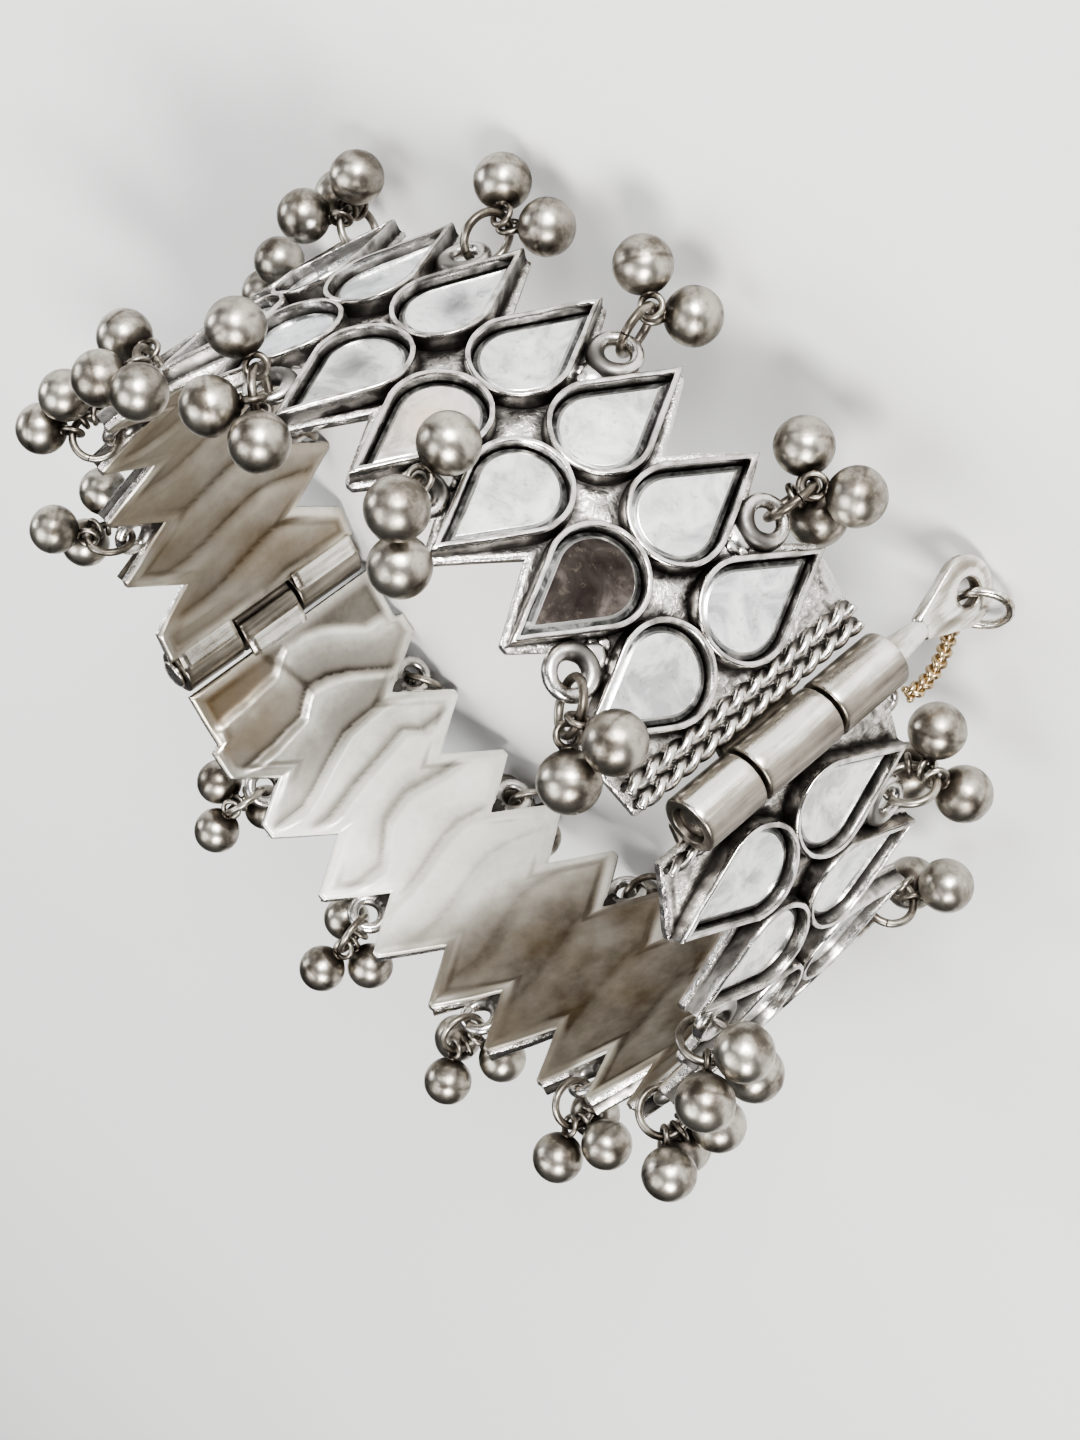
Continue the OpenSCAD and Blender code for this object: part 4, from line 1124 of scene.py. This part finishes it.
# ---------------------------------------------------------------- the braided safety chain and the loop it hangs from
s = Shape()
way = np.array(CHAIN)
cum = np.concatenate([[0], np.cumsum(np.linalg.norm(np.diff(way, axis=0), axis=1))])
L = np.linspace(0, cum[-1], 170)
core = np.stack([np.interp(L, cum, way[:, i]) for i in range(3)], 1)
for _ in range(12):
    core[1:-1] = (core[:-2] + 2 * core[1:-1] + core[2:]) / 4
T = np.gradient(core, axis=0)
T /= np.linalg.norm(T, axis=1)[:, None]
U = np.cross(T, [1.0, 0, 0])
U /= np.linalg.norm(U, axis=1)[:, None]
V = np.cross(T, U)
for q in range(3):
    ph = 2 * math.pi * L / 2.5 + q * 2 * math.pi / 3
    P = core + (0.37 * np.sin(ph))[:, None] * U + (0.2 * np.sin(2 * ph))[:, None] * V
    s.tube(P, 0.235, sides=10, closed=False, up=(1, 0.2, 0.1), patina=np.clip(0.3 - 0.3 * np.abs(np.sin(ph)) + 0.2 * noise(P, 0.7, 55 + q), 0, 1))
s.build("safety_braid", [M_CHAIN], ["safety_chain"], "chain_metal", sharp=60)
s = Shape()
c = at(352.4, R_IN + 0.5, 0, -HALF_W - 0.4)
path = circle(c, radial(352.4), 0.75, 40)
s.tube(path, 0.27, sides=12, up=radial(352.4), patina=np.clip(0.2 + 0.2 * noise(path, 0.8, 8), 0, 1))
s.ball(at(352.4, R_IN + 0.55, 0, -HALF_W + 0.2), 0.55, rings=10, sides=16, bumps=0.15, patina=0.35)
s.build("chain_loop", [M_SILVER], ["half_back"], "oxidised_silver", sharp=60)


# ---------------------------------------------------------------- danglers
def dangler(name, row, node_name, index):
    a, sg, beta, gamma, kind = row
    Rz = rot("z", a)
    T0 = Rz @ np.array([LOOP_OUT, 0, sg * LOOP_Z])
    B = Rz @ rot("x", 0 if sg > 0 else 180) @ rot("x", beta)
    g = math.radians(gamma)
    c = np.array([JUMP_OFF * math.cos(g), 0, LOOP_R + JUMP_OFF * math.sin(g)])
    s = Shape()
    start = 1.3 + 0.7 * index
    N = B @ np.array([0, 1.0, 0])
    path = circle(T0 + B @ c, N, JUMP_R, 64, start=start, sweep=2 * math.pi - 0.035, closed=False)
    wob = noise(path, 1.4, 500 + index)
    s.tube(path, JUMP_WIRE * (0.97 + 0.03 * wob), sides=14, closed=False, up=N, cap=0.03, patina=np.clip(0.16 + 0.22 * wob, 0, 1))
    for q, (th, ps) in enumerate(BEAD_SETS[kind]):
        Q = rot("y", -th)
        p = c + Q @ np.array([JUMP_R, 0, 0])
        W = Q @ rot("z", ps)
        centre = T0 + B @ p
        E = B @ W
        seed = 600 + 31 * index + q
        eye = circle(centre, E @ np.array([0, 0, 1.0]), EYELET_R, 36)
        out = (eye - centre) @ (E @ np.array([1.0, 0, 0])) / EYELET_R
        s.tube(eye, EYELET_WIRE * (0.97 + 0.1 * smooth(out, 0.4, 1.0)), sides=12, up=E @ np.array([0, 0, 1.0]),
               patina=np.clip(0.18 + 0.5 * smooth(out, 0.5, 1.0) + 0.15 * noise(eye, 0.7, seed), 0, 1))
        bead = T0 + B @ (p + W @ np.array([EYELET_R + BEAD_D / 2 - 0.02, 0, 0]))
        axis = E @ np.array([1.0, 0, 0])
        # collar where the small ring is soldered on
        F3 = np.stack([E @ np.array([0, 1.0, 0]), E @ np.array([0, 0, 1.0]), axis], 1)
        s.ball(bead - axis * (BEAD_D / 2 - 0.06), 0.52, F3, rings=10, sides=18, squash=0.42, bumps=0.12, seed=seed, patina=0.55)
        rb = BEAD_D / 2 - 0.035

        def tone(D, seed=seed):
            pole = D[:, 2]
            seam = np.exp(-(np.abs(pole - 0.03) / 0.035) ** 2)
            n = fractal(D * 2.0 + seed, 1.1, seed, 3)
            return np.clip(0.10 + 0.62 * smooth(-pole, 0.72, 0.97) + 0.26 * seam + 0.26 * n + 0.1 * smooth(np.abs(n), 0.4, 0.7), 0, 1)

        rings, sides = 26, 36
        thh = np.pi * np.arange(1, rings) / rings
        s.ball(bead, rb, F3, rings=rings, sides=sides, bumps=0.012, seed=seed, squash=0.985, patina=tone)
    return s.build(name, [M_BEAD], [node_name], "bead_metal", sharp=60)


for i, row in enumerate(DANGLERS):
    label = ("upper", i + 1) if row[1] > 0 else ("lower", i - 11)
    dangler(f"bells_{label[0]}_{label[1]:02d}", row, f"dangler_{label[0]}_{label[1]:02d}", i)


# ---------------------------------------------------------------- floor, light, camera
def floor():
    me = bpy.data.meshes.new("floor")
    n = 96
    t = 2 * np.pi * np.arange(n) / n
    P = np.vstack([np.stack([6 * np.cos(t), 6 * np.sin(t), 0 * t], 1)])
    me.from_pydata(P.tolist(), [], [list(range(n))])
    o = bpy.data.objects.new("floor", me)
    bpy.context.scene.collection.objects.link(o)
    m, nt, sh, vec = new_material("pale_floor")
    c = ramp(nt, noise_tex(nt, vec, 9, 3, 0.5), [(0.3, (0.79, 0.787, 0.78)), (0.7, (0.82, 0.817, 0.81))])
    nt.links.new(c, sh.inputs["Base Color"])
    sh.inputs["Roughness"].default_value = 0.62
    sh.inputs["Specular IOR Level"].default_value = 0.25
    me.materials.append(m)
    return o


floor()

az, el, roll = (math.radians(v) for v in (26.34, 23.20, -127.58))
b = np.array([math.cos(el) * math.cos(az), math.cos(el) * math.sin(az), math.sin(el)])
r1 = np.array([-math.sin(az), math.cos(az), 0])
u1 = np.cross(b, r1)
right = math.cos(roll) * r1 + math.sin(roll) * u1
up = -math.sin(roll) * r1 + math.cos(roll) * u1
bw, rw, uw = dir_world(b), dir_world(right), dir_world(up)
cam_data = bpy.data.cameras.new("camera")
cam = bpy.data.objects.new("camera", cam_data)
bpy.context.scene.collection.objects.link(cam)
cam_data.sensor_fit = "AUTO"
cam_data.sensor_width = 36.0
cam_data.lens = 36.0 * 2141 / 1440
cam_data.shift_x = (540 - 479.1) / 1440
cam_data.shift_y = -(720 - 681.6) / 1440
cam_data.clip_start, cam_data.clip_end = 0.01, 20
place = to_world([157.8 * b])[0]
R = Matrix((tuple(float(v) for v in (rw[0], uw[0], bw[0])), tuple(float(v) for v in (rw[1], uw[1], bw[1])), tuple(float(v) for v in (rw[2], uw[2], bw[2]))))
cam.matrix_world = Matrix.Translation(Vector([float(v) for v in place])) @ R.to_4x4()
bpy.context.scene.camera = cam


def area(name, pos, target, size, power, colour=(1, 1, 1)):
    d = bpy.data.lights.new(name, "AREA")
    d.shape = "DISK"
    d.size = size
    d.energy = power
    d.color = colour
    o = bpy.data.objects.new(name, d)
    bpy.context.scene.collection.objects.link(o)
    v = Vector(pos) - Vector(target)
    o.matrix_world = Matrix.Translation(Vector(pos)) @ v.to_track_quat("Z", "Y").to_matrix().to_4x4()
    return o


def lamp(name, towards, size, power, colour=(1, 1, 1), away=2.5):
    """A disk lamp on the line through `towards`, `away` times as far: its angle and its light on the object stay the same."""
    mid = Vector((0.0, 0.0, 0.018))
    place = mid + (Vector(towards) - mid) * away
    area(name, place, mid, size * away, power * away * away, colour).visible_camera = False


lamp("key", (0.30, -0.16, 0.42), 0.20, 2.35, (1.0, 0.985, 0.96))
lamp("top", (-0.10, 0.12, 0.62), 0.45, 1.7)
lamp("rim", (-0.38, 0.34, 0.22), 0.2, 0.7, (0.96, 0.98, 1.0))
lamp("fill", (0.10, 0.55, 0.30), 0.3, 0.4)
lamp("inside", (0.34, 0.29, 0.12), 0.2, 2.55)

world = bpy.data.worlds.new("studio")
bpy.context.scene.world = world
world.use_nodes = True
wt = world.node_tree
bg = wt.nodes["Background"]
geo = wt.nodes.new("ShaderNodeTexCoord")
sep = wt.nodes.new("ShaderNodeSeparateXYZ")
wt.links.new(geo.outputs["Generated"], sep.inputs[0])
cr = wt.nodes.new("ShaderNodeValToRGB")
el_ = cr.color_ramp.elements
el_[0].position, el_[0].color = 0.0, (0.42, 0.42, 0.43, 1)
el_[1].position, el_[1].color = 1.0, (0.86, 0.87, 0.90, 1)
e = el_.new(0.55)
e.color = (0.62, 0.62, 0.63, 1)
wt.links.new(sep.outputs["Z"], cr.inputs["Fac"])
wt.links.new(cr.outputs[0], bg.inputs["Color"])
bg.inputs["Strength"].default_value = 0.17

bpy.context.scene.view_settings.view_transform = "AgX"
bpy.context.scene.view_settings.look = "AgX - High Contrast"

bpy.context.view_layer.update()
